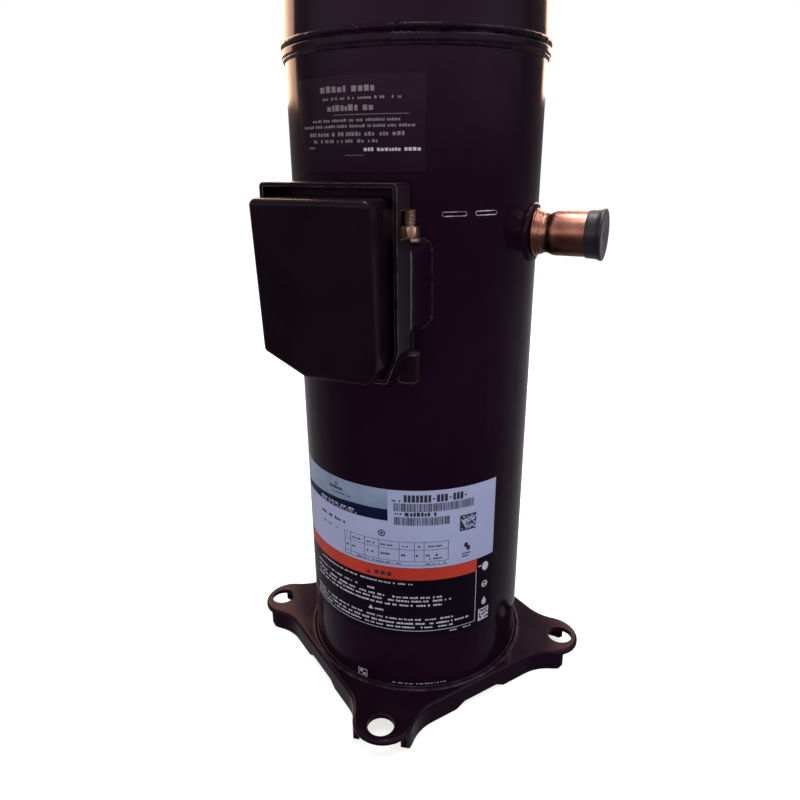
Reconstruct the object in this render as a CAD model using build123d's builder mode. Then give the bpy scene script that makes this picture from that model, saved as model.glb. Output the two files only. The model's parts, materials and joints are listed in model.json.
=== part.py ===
from build123d import *
import os
from math import cos, pi, radians, sin

# Hermetic scroll compressor, upright. Millimetres.
# The origin is the centre of the four foot holes, on the top face of the foot ears.
# +Z runs up the shaft. X and Y run along the sides of the square foot.

# ---------------------------------------------------------------- driving dimensions
foot_hole_spacing = 190.5
foot_hole_r = 10.5
foot_thickness = 4.0
foot_depth = 18.5
foot_relief_depth = 14.0
foot_side_half = 100.0
ear_r = 24.5
ear_centre = 88.9
foot_blend_r = 38.0
foot_bend_r = 2.5

shell_r = 92.0
shell_wall = 3.5
shell_bottom_z = -6.0
seam_z = 474.5
seam_rim_height = 6.0
seam_rim_r = 94.3

fit = 0.05
weld_gap = 0.15
clearance = 0.3

suction_angle = 32.0
suction_z = 360.5
suction_tube_r = 15.4
suction_bore_r = 14.3
suction_waist_r = 13.8
suction_mouth = 138.0

box_angle = -58.0
discharge_angle = 122.0
discharge_offset = 42.0
lug_angle = 212.0

stake_z = 377.2
stake_angles = [-17.9, -3.6]
lobe_angles = [-10.75 + 90 * i for i in range(4)]

scroll_pitch = 20.0
scroll_wall = 4.2
orbit_r = 5.5
wrap_start = 3.7
wrap_end = 17.3

# ---------------------------------------------------------------- derived dimensions
shell_in_r = shell_r - shell_wall
base_circle_r = scroll_pitch / (2 * pi)
cap_bottom_z = seam_z + seam_rim_height + weld_gap


def outward(angle):
    """Unit vector that points away from the shaft at an angle round it."""
    return Vector(cos(radians(angle)), sin(radians(angle)), 0)


def sideways(angle):
    """Unit vector square to outward(angle), anticlockwise seen from above."""
    return Vector(-sin(radians(angle)), cos(radians(angle)), 0)


def facing_plane(angle, z=0.0):
    """Plane that faces outward, with its x sideways and its y up."""
    return Plane(origin=(0, 0, z), x_dir=sideways(angle), z_dir=outward(angle))


def section_plane(angle, z=0.0):
    """Upright plane through the shaft, with its x outward and its y up."""
    return Plane(origin=(0, 0, z), x_dir=outward(angle), z_dir=-sideways(angle))


def at_box(depth, side, z):
    """Point at a depth from the shaft, to one side of the terminal box's middle."""
    return outward(box_angle) * depth + sideways(box_angle) * side + Vector(0, 0, z)


def turned(plane, axis, points, mode=Mode.ADD):
    """Turn a closed outline of straight runs about an axis."""
    with BuildSketch(plane) as profile:
        with BuildLine():
            Polyline(*points, close=True)
        make_face()
    revolve(profile.sketch, axis=axis, mode=mode)


def ring_sector(inner_r, outer_r, angle, half_angle):
    """Sketch one sector of a ring, centred on an angle."""
    with BuildLine() as outline:
        outer = CenterArc((0, 0), outer_r, angle - half_angle, 2 * half_angle)
        inner = CenterArc((0, 0), inner_r, angle - half_angle, 2 * half_angle)
        Line(outer @ 0, inner @ 0)
        Line(outer @ 1, inner @ 1)
    make_face(outline.edges())


def ring(inner_r, outer_r, z_low, z_high, centre=(0, 0)):
    """Add an upright ring between two heights."""
    with BuildSketch(Plane.XY.offset(z_low)) as profile:
        with Locations(centre):
            Circle(outer_r)
            Circle(inner_r, mode=Mode.SUBTRACT)
    extrude(profile.sketch, amount=z_high - z_low)


def disc(radius, z_low, z_high, centre=(0, 0), mode=Mode.ADD):
    """Add or cut an upright disc between two heights."""
    with BuildSketch(Plane.XY.offset(z_low)) as profile:
        with Locations(centre):
            Circle(radius)
    extrude(profile.sketch, amount=z_high - z_low, mode=mode)


def block(plane, outline, near, far, corner_r=0.0, wall=0.0, mode=Mode.ADD):
    """Add or cut a prism on a plane, from one depth to another, hollow if it has a wall."""
    with BuildSketch(plane.offset(near)) as profile:
        with BuildLine():
            Polyline(*outline, close=True)
        make_face()
        if corner_r:
            fillet(profile.vertices(), corner_r)
        if wall:
            offset(amount=-wall, mode=Mode.SUBTRACT)
    extrude(profile.sketch, amount=far - near, mode=mode)


def rectangle(half_width, low, high):
    """Corners of an upright rectangle about the middle."""
    return [(-half_width, low), (half_width, low), (half_width, high), (-half_width, high)]


# ================================================================ outer shell
suction_plane = facing_plane(suction_angle, suction_z)
suction_section = section_plane(suction_angle, suction_z)
suction_axis = Axis((0, 0, suction_z), outward(suction_angle))
terminal_z = 333.5
terminal_hole_r = 22.15
terminal_plane = facing_plane(box_angle, terminal_z)
stake_length = 16.5
stake_height = 2.6
stake_depth = 0.8

with BuildPart() as shell_tube:
    ring(shell_in_r, shell_r, shell_bottom_z, seam_z - weld_gap)
    with BuildSketch(suction_plane):
        Circle(suction_waist_r)
    extrude(amount=shell_r + 10, mode=Mode.SUBTRACT)
    with BuildSketch(terminal_plane):
        Circle(terminal_hole_r)
    extrude(amount=shell_r + 10, mode=Mode.SUBTRACT)
    for lobe in range(4):
        for angle in stake_angles:
            with BuildSketch(facing_plane(angle + 90 * lobe, stake_z).offset(shell_r - stake_depth)):
                SlotOverall(stake_length, stake_height)
            extrude(amount=4, mode=Mode.SUBTRACT)

# Both end caps are a straight skirt, a round corner and a shallow crown.
corner_sweep = 75.0


def dished_outline(skirt_r, corner_r, corner_z, skirt_end, up, wall):
    """Draw half the section of a dished cap on the XZ plane, crown up or down."""
    sense = 1 if up else -1
    corner_x = skirt_r - corner_r
    reach = corner_x + corner_r * cos(radians(corner_sweep))
    crown_r = reach / cos(radians(corner_sweep))
    crown_z = corner_z - sense * (crown_r - corner_r) * sin(radians(corner_sweep))
    edges = []
    with BuildLine() as outline:
        for inset in (0.0, wall):
            corner = CenterArc((corner_x, corner_z), corner_r - inset, 0, sense * corner_sweep)
            crown = CenterArc((0, crown_z), crown_r - inset, sense * corner_sweep,
                              sense * (90 - corner_sweep))
            edges.append((corner, crown))
        Polyline(edges[0][0] @ 0, skirt_end[0], skirt_end[1], edges[1][0] @ 0)
        Line(edges[0][1] @ 1, edges[1][1] @ 1)
    make_face(outline.edges())


cap_wall = 3.6
cap_corner_r = 30.0
cap_corner_z = 508.0
cap_skirt_top_r = 91.6
cap_skirt_r = 93.0

stub = outward(discharge_angle) * discharge_offset
stub_centre = (stub.X, stub.Y)
stub_axis = Axis((stub.X, stub.Y, 0), (0, 0, 1))
stub_plane = Plane(origin=(stub.X, stub.Y, 0), x_dir=(1, 0, 0), z_dir=(0, -1, 0))
stub_neck_r = 11.2

with BuildPart() as top_cap:
    with BuildSketch(Plane.XZ):
        dished_outline(
            cap_skirt_top_r, cap_corner_r, cap_corner_z,
            [(cap_skirt_r, cap_bottom_z), (cap_skirt_r - cap_wall, cap_bottom_z)], True, cap_wall,
        )
    revolve(axis=Axis.Z)
    disc(stub_neck_r + weld_gap, 525, 560, stub_centre, mode=Mode.SUBTRACT)

# The solid that the cap encloses, used to fit what is welded on the cap.
with BuildPart() as cap_envelope:
    with BuildSketch(Plane.XZ):
        dished_outline(
            cap_skirt_top_r + weld_gap, cap_corner_r + weld_gap, cap_corner_z,
            [(cap_skirt_r, cap_bottom_z), (cap_skirt_r - 40, cap_bottom_z)], True, 25.0,
        )
    revolve(axis=Axis.Z)

bottom_corner_z = 15.75
bottom_skirt_r = shell_in_r - weld_gap

with BuildPart() as bottom_cap:
    with BuildSketch(Plane.XZ):
        dished_outline(
            bottom_skirt_r, 22.0, bottom_corner_z,
            [(bottom_skirt_r, 34), (bottom_skirt_r - shell_wall, 34)], False, shell_wall,
        )
    revolve(axis=Axis.Z)

partition_hole_r = 24.0
partition_under_z = 476.0
partition_top_z = 482.5

with BuildPart() as partition_plate:
    turned(Plane.XZ, Axis.Z, [
        (partition_hole_r, partition_under_z), (74, partition_under_z), (77, seam_z),
        (seam_rim_r, seam_z), (seam_rim_r, seam_z + seam_rim_height),
        (84, seam_z + seam_rim_height), (80, partition_top_z), (partition_hole_r, partition_top_z),
    ])
    rim = partition_plate.edges().filter_by(GeomType.CIRCLE).sort_by(SortBy.RADIUS)[-2:]
    fillet(rim, 1.6)

# ================================================================ foot
ear_span = 2 * ear_centre
ear_plain_from = 138.0
relief_half = 17.0
relief_ramp = 10.0
ring_bead_in = 94.6
ring_bead_out = 97.0
ring_bead_z = 1.2


def foot_outline():
    """Square with an ear at each corner, blended where they meet."""
    Rectangle(2 * foot_side_half, 2 * foot_side_half)
    with GridLocations(ear_span, ear_span, 2, 2):
        Circle(ear_r)


with BuildPart() as base_plate:
    with BuildSketch() as foot_profile:
        foot_outline()
        fillet(foot_profile.vertices(), foot_blend_r)
    extrude(amount=-foot_thickness)
    with BuildSketch(Plane.XY.offset(-foot_thickness)) as flange_profile:
        foot_outline()
        fillet(flange_profile.vertices(), foot_blend_r)
        offset(amount=-foot_thickness, mode=Mode.SUBTRACT)
    extrude(amount=foot_thickness - foot_depth)
    # Plain ear tips, without a flange.
    for quarter in range(4):
        block(
            section_plane(45 + 90 * quarter),
            [(ear_plain_from - 4, -foot_depth - 1), (ear_plain_from, -foot_depth + 3.5),
             (ear_plain_from, -foot_thickness), (ear_plain_from + 40, -foot_thickness),
             (ear_plain_from + 40, -foot_depth - 1)],
            -60, 60, mode=Mode.SUBTRACT,
        )
    # Shallow relief in the lower edge of each side.
    for quarter in range(4):
        block(
            facing_plane(90 * quarter),
            [(-relief_half - relief_ramp, -foot_depth - 1), (-relief_half, -foot_relief_depth),
             (relief_half, -foot_relief_depth), (relief_half + relief_ramp, -foot_depth - 1)],
            foot_side_half - 20, foot_side_half + 5, mode=Mode.SUBTRACT,
        )
    top_edges = base_plate.faces().sort_by(Axis.Z)[-1].outer_wire().edges()
    fillet(top_edges, foot_bend_r)
    # The dished well that the shell stands in, with a raised ring round it.
    turned(Plane.XZ, Axis.Z, [
        (ring_bead_in - 1, -1), (ring_bead_out, -1), (ring_bead_out, ring_bead_z * 0.6),
        (ring_bead_out - 0.8, ring_bead_z), (ring_bead_in + 0.6, ring_bead_z), (ring_bead_in - 1, 0),
    ])
    disc(shell_r + weld_gap, -foot_thickness - 1, ring_bead_z + 1, mode=Mode.SUBTRACT)
    turned(Plane.XZ, Axis.Z, [
        (shell_r, 2), (ring_bead_in, 2), (ring_bead_in, 0.6), (shell_r, -1.8),
    ], mode=Mode.SUBTRACT)
    with BuildSketch(Plane.XY.offset(-foot_thickness - 1)):
        with GridLocations(foot_hole_spacing, foot_hole_spacing, 2, 2):
            Circle(foot_hole_r)
    extrude(amount=foot_thickness + 2, mode=Mode.SUBTRACT)

# ================================================================ suction connection
collar_r = 20.5
collar_lip_r = 94.6

with BuildPart() as suction_collar:
    with BuildSketch(suction_plane.offset(shell_r - 22)):
        Circle(collar_r)
        Circle(suction_waist_r + weld_gap, mode=Mode.SUBTRACT)
    extrude(amount=30)
    disc(collar_lip_r, suction_z - 40, suction_z + 40, mode=Mode.INTERSECT)
    lip = suction_collar.faces().sort_by(suction_axis)[-1].outer_wire().edges()
    fillet(lip, 2.2)
    disc(shell_r + weld_gap, suction_z - 40, suction_z + 40, mode=Mode.SUBTRACT)

tube_wall = suction_tube_r - suction_bore_r

with BuildPart() as suction_fitting:
    turned(suction_section, suction_axis, [
        (82, suction_waist_r - fit - tube_wall), (103, suction_waist_r - fit - tube_wall),
        (106.5, suction_bore_r), (suction_mouth, suction_bore_r), (suction_mouth, suction_tube_r),
        (107.5, suction_tube_r), (104, suction_waist_r - fit), (100.5, suction_waist_r - fit),
        (97, 15.2), (94.8, 16.3), (94.8, suction_waist_r - fit), (82, suction_waist_r - fit),
    ])

with BuildPart() as suction_cap:
    turned(suction_section, suction_axis, [
        (130.5, suction_tube_r + 0.1), (suction_mouth + clearance, suction_tube_r + 0.1),
        (suction_mouth + clearance, 0), (141.0, 0), (141.0, 1.4), (142.2, 2.2),
        (142.2, 16.9), (141.4, 17.7), (140.2, 17.3), (137.0, 16.4), (132, 16.2), (130.5, 15.9),
    ])

# A curved plate that faces the suction hole, on two side walls.
baffle_half = 17.0
baffle_in_r = 78.6
baffle_out_r = 79.8
baffle_height = 40.0
baffle_side_half = 0.4
with BuildPart() as suction_baffle:
    with BuildSketch(Plane.XY.offset(suction_z - baffle_height / 2)):
        ring_sector(baffle_in_r, baffle_out_r, suction_angle, baffle_half)
    extrude(amount=baffle_height)
    for side in (-1, 1):
        side_angle = suction_angle + side * (baffle_half + baffle_side_half)
        with BuildSketch(Plane.XY.offset(suction_z - baffle_height / 2)):
            ring_sector(baffle_in_r, shell_in_r - weld_gap, side_angle, baffle_side_half)
        extrude(amount=baffle_height)

# ================================================================ discharge connection
stub_bore_r = 11.15
stub_tube_r = 12.35
stub_mouth_z = 574.0

with BuildPart() as discharge_collar:
    ring(stub_neck_r + weld_gap, 19.0, 535, 549.5, stub_centre)
    chamfer(discharge_collar.faces().sort_by(Axis.Z)[-1].outer_wire().edges(), 3.0)
    add(cap_envelope.part, mode=Mode.SUBTRACT)

with BuildPart() as discharge_fitting:
    turned(stub_plane, stub_axis, [
        (stub_neck_r - 1.2, 530), (stub_neck_r - 1.2, 551), (stub_bore_r, 553.5),
        (stub_bore_r, stub_mouth_z), (stub_tube_r, stub_mouth_z), (stub_tube_r, 553),
        (stub_neck_r, 550.5), (stub_neck_r, 530),
    ])

with BuildPart() as discharge_cap:
    turned(stub_plane, stub_axis, [
        (stub_tube_r + 0.1, 560.5), (stub_tube_r + 0.1, stub_mouth_z + clearance),
        (0, stub_mouth_z + clearance), (0, 577.0), (1.4, 577.0), (2.2, 578.2), (13.2, 578.2),
        (14.4, 577.2), (14.3, 575.6), (13.5, 571), (13.4, 562), (13.1, 560.5),
    ])

lug_thickness = 6.0
lug_outline = [(48, 530), (48, 556), (56, 568), (74, 568), (90, 540), (90, 512), (75, 512), (60, 525)]
lug_eye = (66, 554.5)
lug_eye_r = 8.5
with BuildPart() as lifting_lug:
    with BuildSketch(section_plane(lug_angle).offset(-lug_thickness / 2)) as lug_profile:
        with BuildLine():
            Polyline(*lug_outline, close=True)
        make_face()
        fillet(lug_profile.vertices().filter_by_position(Axis.Y, 567, 569), 7)
        with Locations(lug_eye):
            Circle(lug_eye_r, mode=Mode.SUBTRACT)
    extrude(amount=lug_thickness)
    add(cap_envelope.part, mode=Mode.SUBTRACT)

# ================================================================ terminal box
box_plane = facing_plane(box_angle)
box_axis = Axis((0, 0, terminal_z), outward(box_angle))
fence_half = 47.3
fence_low = 305.0
fence_high = 362.0
fence_wall = 3.0
fence_front = 109.0
base_back = 110.6
base_front = 129.5
moulding_wall = 2.5
cover_back = 118.0
cover_front_top = 152.0
cover_front_foot = 147.0
cover_round = 4.0

conduit_depth = 99.0
conduit_side = 39.8
conduit_neck_r = 4.2
conduit_r = 7.8
stud_depth = 97.0
stud_side = 40.6
stud_r = 2.4

with BuildPart() as terminal_fence:
    block(box_plane, rectangle(fence_half, fence_low, fence_high), 70, fence_front, 7.0, fence_wall)
    disc(shell_r + weld_gap, fence_low - 5, fence_high + 5, mode=Mode.SUBTRACT)
    # Cable entry in the floor and a hole for the earth stud in the roof.
    spot = at_box(conduit_depth, conduit_side, 0)
    disc(conduit_neck_r + 0.1, fence_low - 2, fence_low + 6, (spot.X, spot.Y), mode=Mode.SUBTRACT)
    spot = at_box(stud_depth, stud_side, 0)
    disc(stud_r + 0.1, fence_high - 6, fence_high + 2, (spot.X, spot.Y), mode=Mode.SUBTRACT)

with BuildPart() as terminal_box_gasket:
    block(box_plane, rectangle(fence_half - 0.4, fence_low + 0.4, fence_high - 0.4),
          fence_front + 0.05, base_back - 0.05, 6.0, fence_wall + 1.0)

base_outline = [
    (-47.3, 397.8), (47.3, 397.8), (47.3, 298.0), (39.0, 278.0), (-13.0, 278.0), (-47.3, 293.5),
]
notch_from = 31.0
notch_low = 366.5
notch_high = 382.5
notch_front = 125.0
cover_outline = [
    (-40.5, 389.5), (40.5, 389.5), (40.5, 291.0), (34.5, 281.0), (-10.7, 281.0), (-40.5, 295.6),
]

with BuildPart() as terminal_box_base:
    block(box_plane, base_outline, base_back, base_front, 3.0)
    rims = terminal_box_base.faces().sort_by(box_axis)
    fillet(rims[0].outer_wire().edges(), 1.5)
    with BuildSketch(box_plane.offset(base_back + moulding_wall)) as tray:
        with BuildLine():
            Polyline(*base_outline, close=True)
        make_face()
        fillet(tray.vertices(), 3.0)
        offset(amount=-moulding_wall)
    extrude(amount=base_front, mode=Mode.SUBTRACT)
    block(box_plane, rectangle(38.0, fence_low + 7, fence_high - 7), base_back - 1,
          base_back + moulding_wall + 1, 5.0, mode=Mode.SUBTRACT)
    # Notch in one corner that leaves room to reach the earth stud.
    block(box_plane, [(notch_from, notch_low), (60, notch_low), (60, notch_high), (notch_from, notch_high)],
          base_back - 1, notch_front, mode=Mode.SUBTRACT)

box_section = section_plane(box_angle)


def below_tilted_front(depth_inside):
    """Cut away what stands in front of the cover's tilted face, or of one deeper inside."""
    top, foot = cover_front_top - depth_inside, cover_front_foot - depth_inside
    block(
        box_section,
        [(foot, 281.0), (foot - 1, 260.0), (180, 260.0), (180, 410.0), (top + 1, 410.0), (top, 389.5)],
        -60, 60, mode=Mode.SUBTRACT,
    )


with BuildPart() as cover_hollow:
    with BuildSketch(box_plane.offset(cover_back - 1)) as hollow:
        with BuildLine():
            Polyline(*cover_outline, close=True)
        make_face()
        fillet(hollow.vertices(), cover_round)
        offset(amount=-moulding_wall)
    extrude(hollow.sketch, amount=40)
    below_tilted_front(moulding_wall)

with BuildPart() as terminal_cover:
    block(box_plane, cover_outline, cover_back, cover_front_top + 2, cover_round)
    below_tilted_front(0.0)
    front = terminal_cover.faces().sort_by(box_axis)[-1]
    fillet(front.outer_wire().edges(), cover_round - 0.4)
    add(cover_hollow.part, mode=Mode.SUBTRACT)

conduit = at_box(conduit_depth, conduit_side, 0)
conduit_low = 271.0
conduit_shoulder = 292.0
with BuildPart() as conduit_plug:
    disc(conduit_r, conduit_low, conduit_shoulder, (conduit.X, conduit.Y))
    chamfer(conduit_plug.faces().sort_by(Axis.Z)[0].edges(), 1.5)
    chamfer(conduit_plug.faces().sort_by(Axis.Z)[-1].edges(), 1.0)
    disc(conduit_neck_r, conduit_shoulder - 1, fence_low + 5, (conduit.X, conduit.Y))

stud_spot = at_box(stud_depth, stud_side, 0)
stud_centre = (stud_spot.X, stud_spot.Y)
washer_r = 6.2
nut_r = 5.6
washer_top_z = fence_high + 2.2
nut_top_z = fence_high + 9.5
stud_top_z = fence_high + 19.5
with BuildPart() as earth_stud:
    disc(stud_r, fence_high - 8, fence_high + 1, stud_centre)
    disc(washer_r, fence_high + 0.1, washer_top_z, stud_centre)
    with BuildSketch(Plane.XY.offset(washer_top_z)):
        with Locations(stud_centre):
            RegularPolygon(nut_r, 6)
    extrude(amount=nut_top_z - washer_top_z)
    disc(3.6, nut_top_z - 0.1, stud_top_z, stud_centre)
    chamfer(earth_stud.faces().sort_by(Axis.Z)[-1].edges(), 0.8)

# Fused terminal: a steel disc, three glass beads and three pins.
pin_circle_r = 10.0
pin_r = 1.6
pin_back = 71.0
pin_length = 34.0
bead_r = 3.5
disc_back = 84.0
disc_thickness = 9.0
block_back = 96.0
block_r = 17.5
block_thickness = 4.5


def pin_locations():
    """The three places of the terminal pins on the current plane."""
    return PolarLocations(pin_circle_r, 3, start_angle=90)


with BuildPart() as hermetic_terminal:
    with BuildSketch(terminal_plane.offset(disc_back)):
        Circle(terminal_hole_r - weld_gap)
        with pin_locations():
            Circle(bead_r, mode=Mode.SUBTRACT)
    extrude(amount=disc_thickness)

with BuildPart() as terminal_glass_seals:
    with BuildSketch(terminal_plane.offset(disc_back - 1.0)):
        with pin_locations():
            Circle(bead_r - fit)
            Circle(pin_r + fit, mode=Mode.SUBTRACT)
    extrude(amount=disc_thickness + 2.5)

with BuildPart() as terminal_pins:
    with BuildSketch(terminal_plane.offset(pin_back)):
        with pin_locations():
            Circle(pin_r)
    extrude(amount=pin_length)

with BuildPart() as terminal_block:
    with BuildSketch(terminal_plane.offset(block_back)):
        Circle(block_r)
        with pin_locations():
            Circle(pin_r + 0.15, mode=Mode.SUBTRACT)
    extrude(amount=block_thickness)
    with BuildSketch(terminal_plane.offset(block_back + block_thickness)):
        with PolarLocations(9.5, 3, start_angle=30):
            Rectangle(16, 1.8)
    extrude(amount=5)

with BuildPart() as terminal_nuts:
    with BuildSketch(terminal_plane.offset(block_back + block_thickness + 0.2)):
        with pin_locations():
            RegularPolygon(4.0, 6)
            Circle(pin_r + 0.05, mode=Mode.SUBTRACT)
    extrude(amount=3)

# ================================================================ labels
label_in_r = shell_r + 0.03
label_out_r = shell_r + 0.28


def wrapped_label(angle, half_angle, z_low, height):
    """A thin label wrapped round the shell."""
    with BuildSketch(Plane.XY.offset(z_low)) as profile:
        ring_sector(label_in_r, label_out_r, angle, half_angle)
    extrude(profile.sketch, amount=height)


with BuildPart() as nameplate_label:
    wrapped_label(-48.85, 57.15, 50.0, 131.5)

with BuildPart() as upper_label:
    wrapped_label(-59.75, 30.0, 403.0, 55.5)

# ================================================================ bearings and their housings
thrust_face_z = 383.0
web_top_z = 371.0
post_top_z = 439.0
post_in_r = 75.7
housing_r = shell_in_r - weld_gap
main_hub_low = 296.0
guide_r = 82.0
lobe_half = 14.0
key_slot_floor = 366.0

with BuildPart() as main_bearing_housing:
    turned(Plane.XZ, Axis.Z, [
        (21.1, main_hub_low), (33, main_hub_low), (33, 338), (47, 354), (52, 360), (76, 360),
        (76, web_top_z), (51.5, web_top_z), (51.5, thrust_face_z), (33.6, thrust_face_z),
        (33.6, 350), (21.1, 350),
    ])
    for angle in lobe_angles:
        with BuildSketch(Plane.XY.offset(360)):
            ring_sector(70, housing_r, angle, lobe_half)
        extrude(amount=web_top_z - 360)
        with BuildSketch(Plane.XY.offset(web_top_z)):
            ring_sector(post_in_r, housing_r, angle, lobe_half)
        extrude(amount=14)
        with BuildSketch(Plane.XY.offset(web_top_z)):
            ring_sector(post_in_r, housing_r, angle, 8.0)
        extrude(amount=post_top_z - web_top_z)
        hole = outward(angle) * guide_r
        disc(3.4, post_top_z - 26, post_top_z + 1, (hole.X, hole.Y), mode=Mode.SUBTRACT)
    # Slots along X that the lower keys of the coupling ring slide in.
    with BuildSketch(Plane.XY.offset(key_slot_floor)):
        with Locations((62.05, 0), (-62.05, 0)):
            Rectangle(21.5, 12.4)
    extrude(amount=web_top_z - key_slot_floor, mode=Mode.SUBTRACT)

journal_r = 19.5
with BuildPart() as main_bearing_bush:
    ring(journal_r + fit, 21.1 - fit, main_hub_low + 1, 347)

lower_journal_r = 14.0
with BuildPart() as lower_bearing_bracket:
    ring(16.6, 26, 34, 62)
    for arm in range(3):
        with BuildSketch(Plane.XY.offset(40)):
            with Locations(Rotation(0, 0, 120 * arm + 30)):
                with Locations((54, 0)):
                    Rectangle(62, 22)
        extrude(amount=12)
    disc(16.6, 33, 63, mode=Mode.SUBTRACT)
    disc(housing_r, 30, 64, mode=Mode.INTERSECT)
    with BuildSketch(Plane.XY.offset(34)):
        with PolarLocations(21.3, 3, start_angle=90):
            Circle(2.6)
    extrude(amount=14, mode=Mode.SUBTRACT)

with BuildPart() as lower_bearing_bush:
    ring(lower_journal_r + fit, 16.6 - fit, 35, 61)

with BuildPart() as lower_thrust_plate:
    ring(9.5, 26, 30.4, 33.7)
    with BuildSketch(Plane.XY.offset(30)):
        with PolarLocations(21.3, 3, start_angle=90):
            Circle(2.8)
    extrude(amount=5, mode=Mode.SUBTRACT)

with BuildPart() as lower_bearing_screws:
    with BuildSketch(Plane.XY.offset(26.3)):
        with PolarLocations(21.3, 3, start_angle=90):
            Circle(4.2)
    extrude(amount=4)
    with BuildSketch(Plane.XY.offset(30.3)):
        with PolarLocations(21.3, 3, start_angle=90):
            Circle(2.5)
    extrude(amount=15)

# ================================================================ motor
stack_low = 90.0
stack_high = 220.0
slot_count = 24
slot_in_r = 50.5
slot_out_r = 69.0
slot_width = 5.6
stator_bore_r = 48.0
winding_in_r = 51.0
winding_out_r = 79.0
winding_low = 62.0
winding_high = 256.0
winding_round = 9.0

with BuildPart() as stator_core:
    with BuildSketch(Plane.XY.offset(stack_low)):
        Circle(shell_in_r - weld_gap)
        Circle(stator_bore_r, mode=Mode.SUBTRACT)
        with PolarLocations((slot_in_r + slot_out_r) / 2, slot_count):
            Rectangle(slot_out_r - slot_in_r, slot_width, mode=Mode.SUBTRACT)
        with PolarLocations(shell_in_r, 4, start_angle=15):
            Circle(6, mode=Mode.SUBTRACT)
    extrude(amount=stack_high - stack_low)

with BuildPart() as stator_winding:
    ring(winding_in_r, winding_out_r, winding_low, stack_low - 0.2)
    ring(winding_in_r, winding_out_r, stack_high + 0.2, winding_high)
    ends = stator_winding.edges().filter_by(GeomType.CIRCLE)
    fillet(ends.group_by(Axis.Z)[0] + ends.group_by(Axis.Z)[-1], winding_round)
    with BuildSketch(Plane.XY.offset(stack_low - 1)):
        with PolarLocations((slot_in_r + slot_out_r) / 2, slot_count):
            Rectangle(slot_out_r - slot_in_r - 1.0, slot_width - 0.6)
    extrude(amount=stack_high - stack_low + 2)

lead_depth = 75.0
plug_half_height = 14.0
with BuildPart() as lead_plug:
    with BuildSketch(terminal_plane.offset(71.5)):
        RectangleRounded(32, 2 * plug_half_height, 4)
        with pin_locations():
            Circle(pin_r + 0.15, mode=Mode.SUBTRACT)
    extrude(amount=8)

with BuildPart() as motor_leads:
    for side in (-9, 0, 9):
        route = [
            at_box(lead_depth, side, terminal_z - plug_half_height - 0.2), at_box(lead_depth, side, 290),
            at_box(66, side, 274), at_box(66, side, winding_high + 0.3),
        ]
        with BuildLine() as lead_path:
            FilletPolyline(*route, radius=8)
        with BuildSketch(Plane(origin=route[0], z_dir=(0, 0, -1))):
            Circle(2.0)
        sweep(path=lead_path.wires()[0])

with BuildPart() as motor_protector:
    disc(8, winding_high + 0.3, winding_high + 12, (-62, 0))
    fillet(motor_protector.faces().sort_by(Axis.Z)[-1].edges(), 2)

rotor_r = 47.4
shaft_r = 18.0
bar_count = 20
bar_r = 3.2
bar_circle_r = 41.0
end_ring_in_r = 33.0
with BuildPart() as rotor_core:
    with BuildSketch(Plane.XY.offset(stack_low - 2)):
        Circle(rotor_r)
        Circle(shaft_r + fit, mode=Mode.SUBTRACT)
        with PolarLocations(bar_circle_r, bar_count):
            Circle(bar_r, mode=Mode.SUBTRACT)
    extrude(amount=stack_high - stack_low + 4)

with BuildPart() as rotor_cage:
    ring(end_ring_in_r, rotor_r, 80, stack_low - 2.1)
    ring(end_ring_in_r, rotor_r, stack_high + 2.1, 230)
    with BuildSketch(Plane.XY.offset(stack_low - 3)):
        with PolarLocations(bar_circle_r, bar_count):
            Circle(bar_r - fit)
    extrude(amount=stack_high - stack_low + 6)

weight_r = 46.0
with BuildPart() as upper_counterweight:
    with BuildSketch(Plane.XY.offset(262)):
        Circle(26)
        ring_sector(10, weight_r, 180, 80)
        Circle(shaft_r + fit, mode=Mode.SUBTRACT)
    extrude(amount=24)

with BuildPart() as lower_counterweight:
    with BuildSketch(Plane.XY.offset(66)):
        ring_sector(27, weight_r, 0, 85)
    extrude(amount=13.8)

with BuildPart() as sump_magnet:
    disc(9, -5.6, 0, (0, 45))

# ================================================================ shaft
pin_journal_r = 13.0
drive_bush_r = 19.0
eccentric = (orbit_r, 0)
oil_bore = (3.0, 0)

with BuildPart() as crankshaft:
    disc(lower_journal_r, 34, 63)
    disc(shaft_r, 63, main_hub_low - 1)
    disc(journal_r, main_hub_low - 1, 349)
    disc(pin_journal_r, 349, 380, eccentric)
    disc(2.5, 33, 381, oil_bore, mode=Mode.SUBTRACT)
    disc(6.0, 33, 44, mode=Mode.SUBTRACT)

with BuildPart() as oil_pickup:
    turned(Plane.XZ, Axis.Z, [
        (3, 2), (5, 2), (8, 8), (8, 33.8), (5.95, 33.8), (5.95, 43), (4.4, 43), (4.4, 10), (3, 6),
    ])

with BuildPart() as drive_bushing:
    ring(pin_journal_r + fit, drive_bush_r, 351, 380, eccentric)

# ================================================================ scroll set
orbit_floor_z = 399.0
fixed_floor_z = 439.0
tip_gap = 0.3
orbit_plate_r = 64.0
orbit_plate_low = 386.0
hub_r = 27.0
hub_low = 352.6
hub_bore_r = 21.1


def involute_point(angle, side_offset, turn=0.0):
    """Point on a curve that runs beside the involute of the base circle."""
    reach = base_circle_r * angle + side_offset
    x = base_circle_r * cos(angle) + reach * sin(angle)
    y = base_circle_r * sin(angle) - reach * cos(angle)
    return (x * cos(turn) - y * sin(turn), x * sin(turn) + y * cos(turn))


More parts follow.
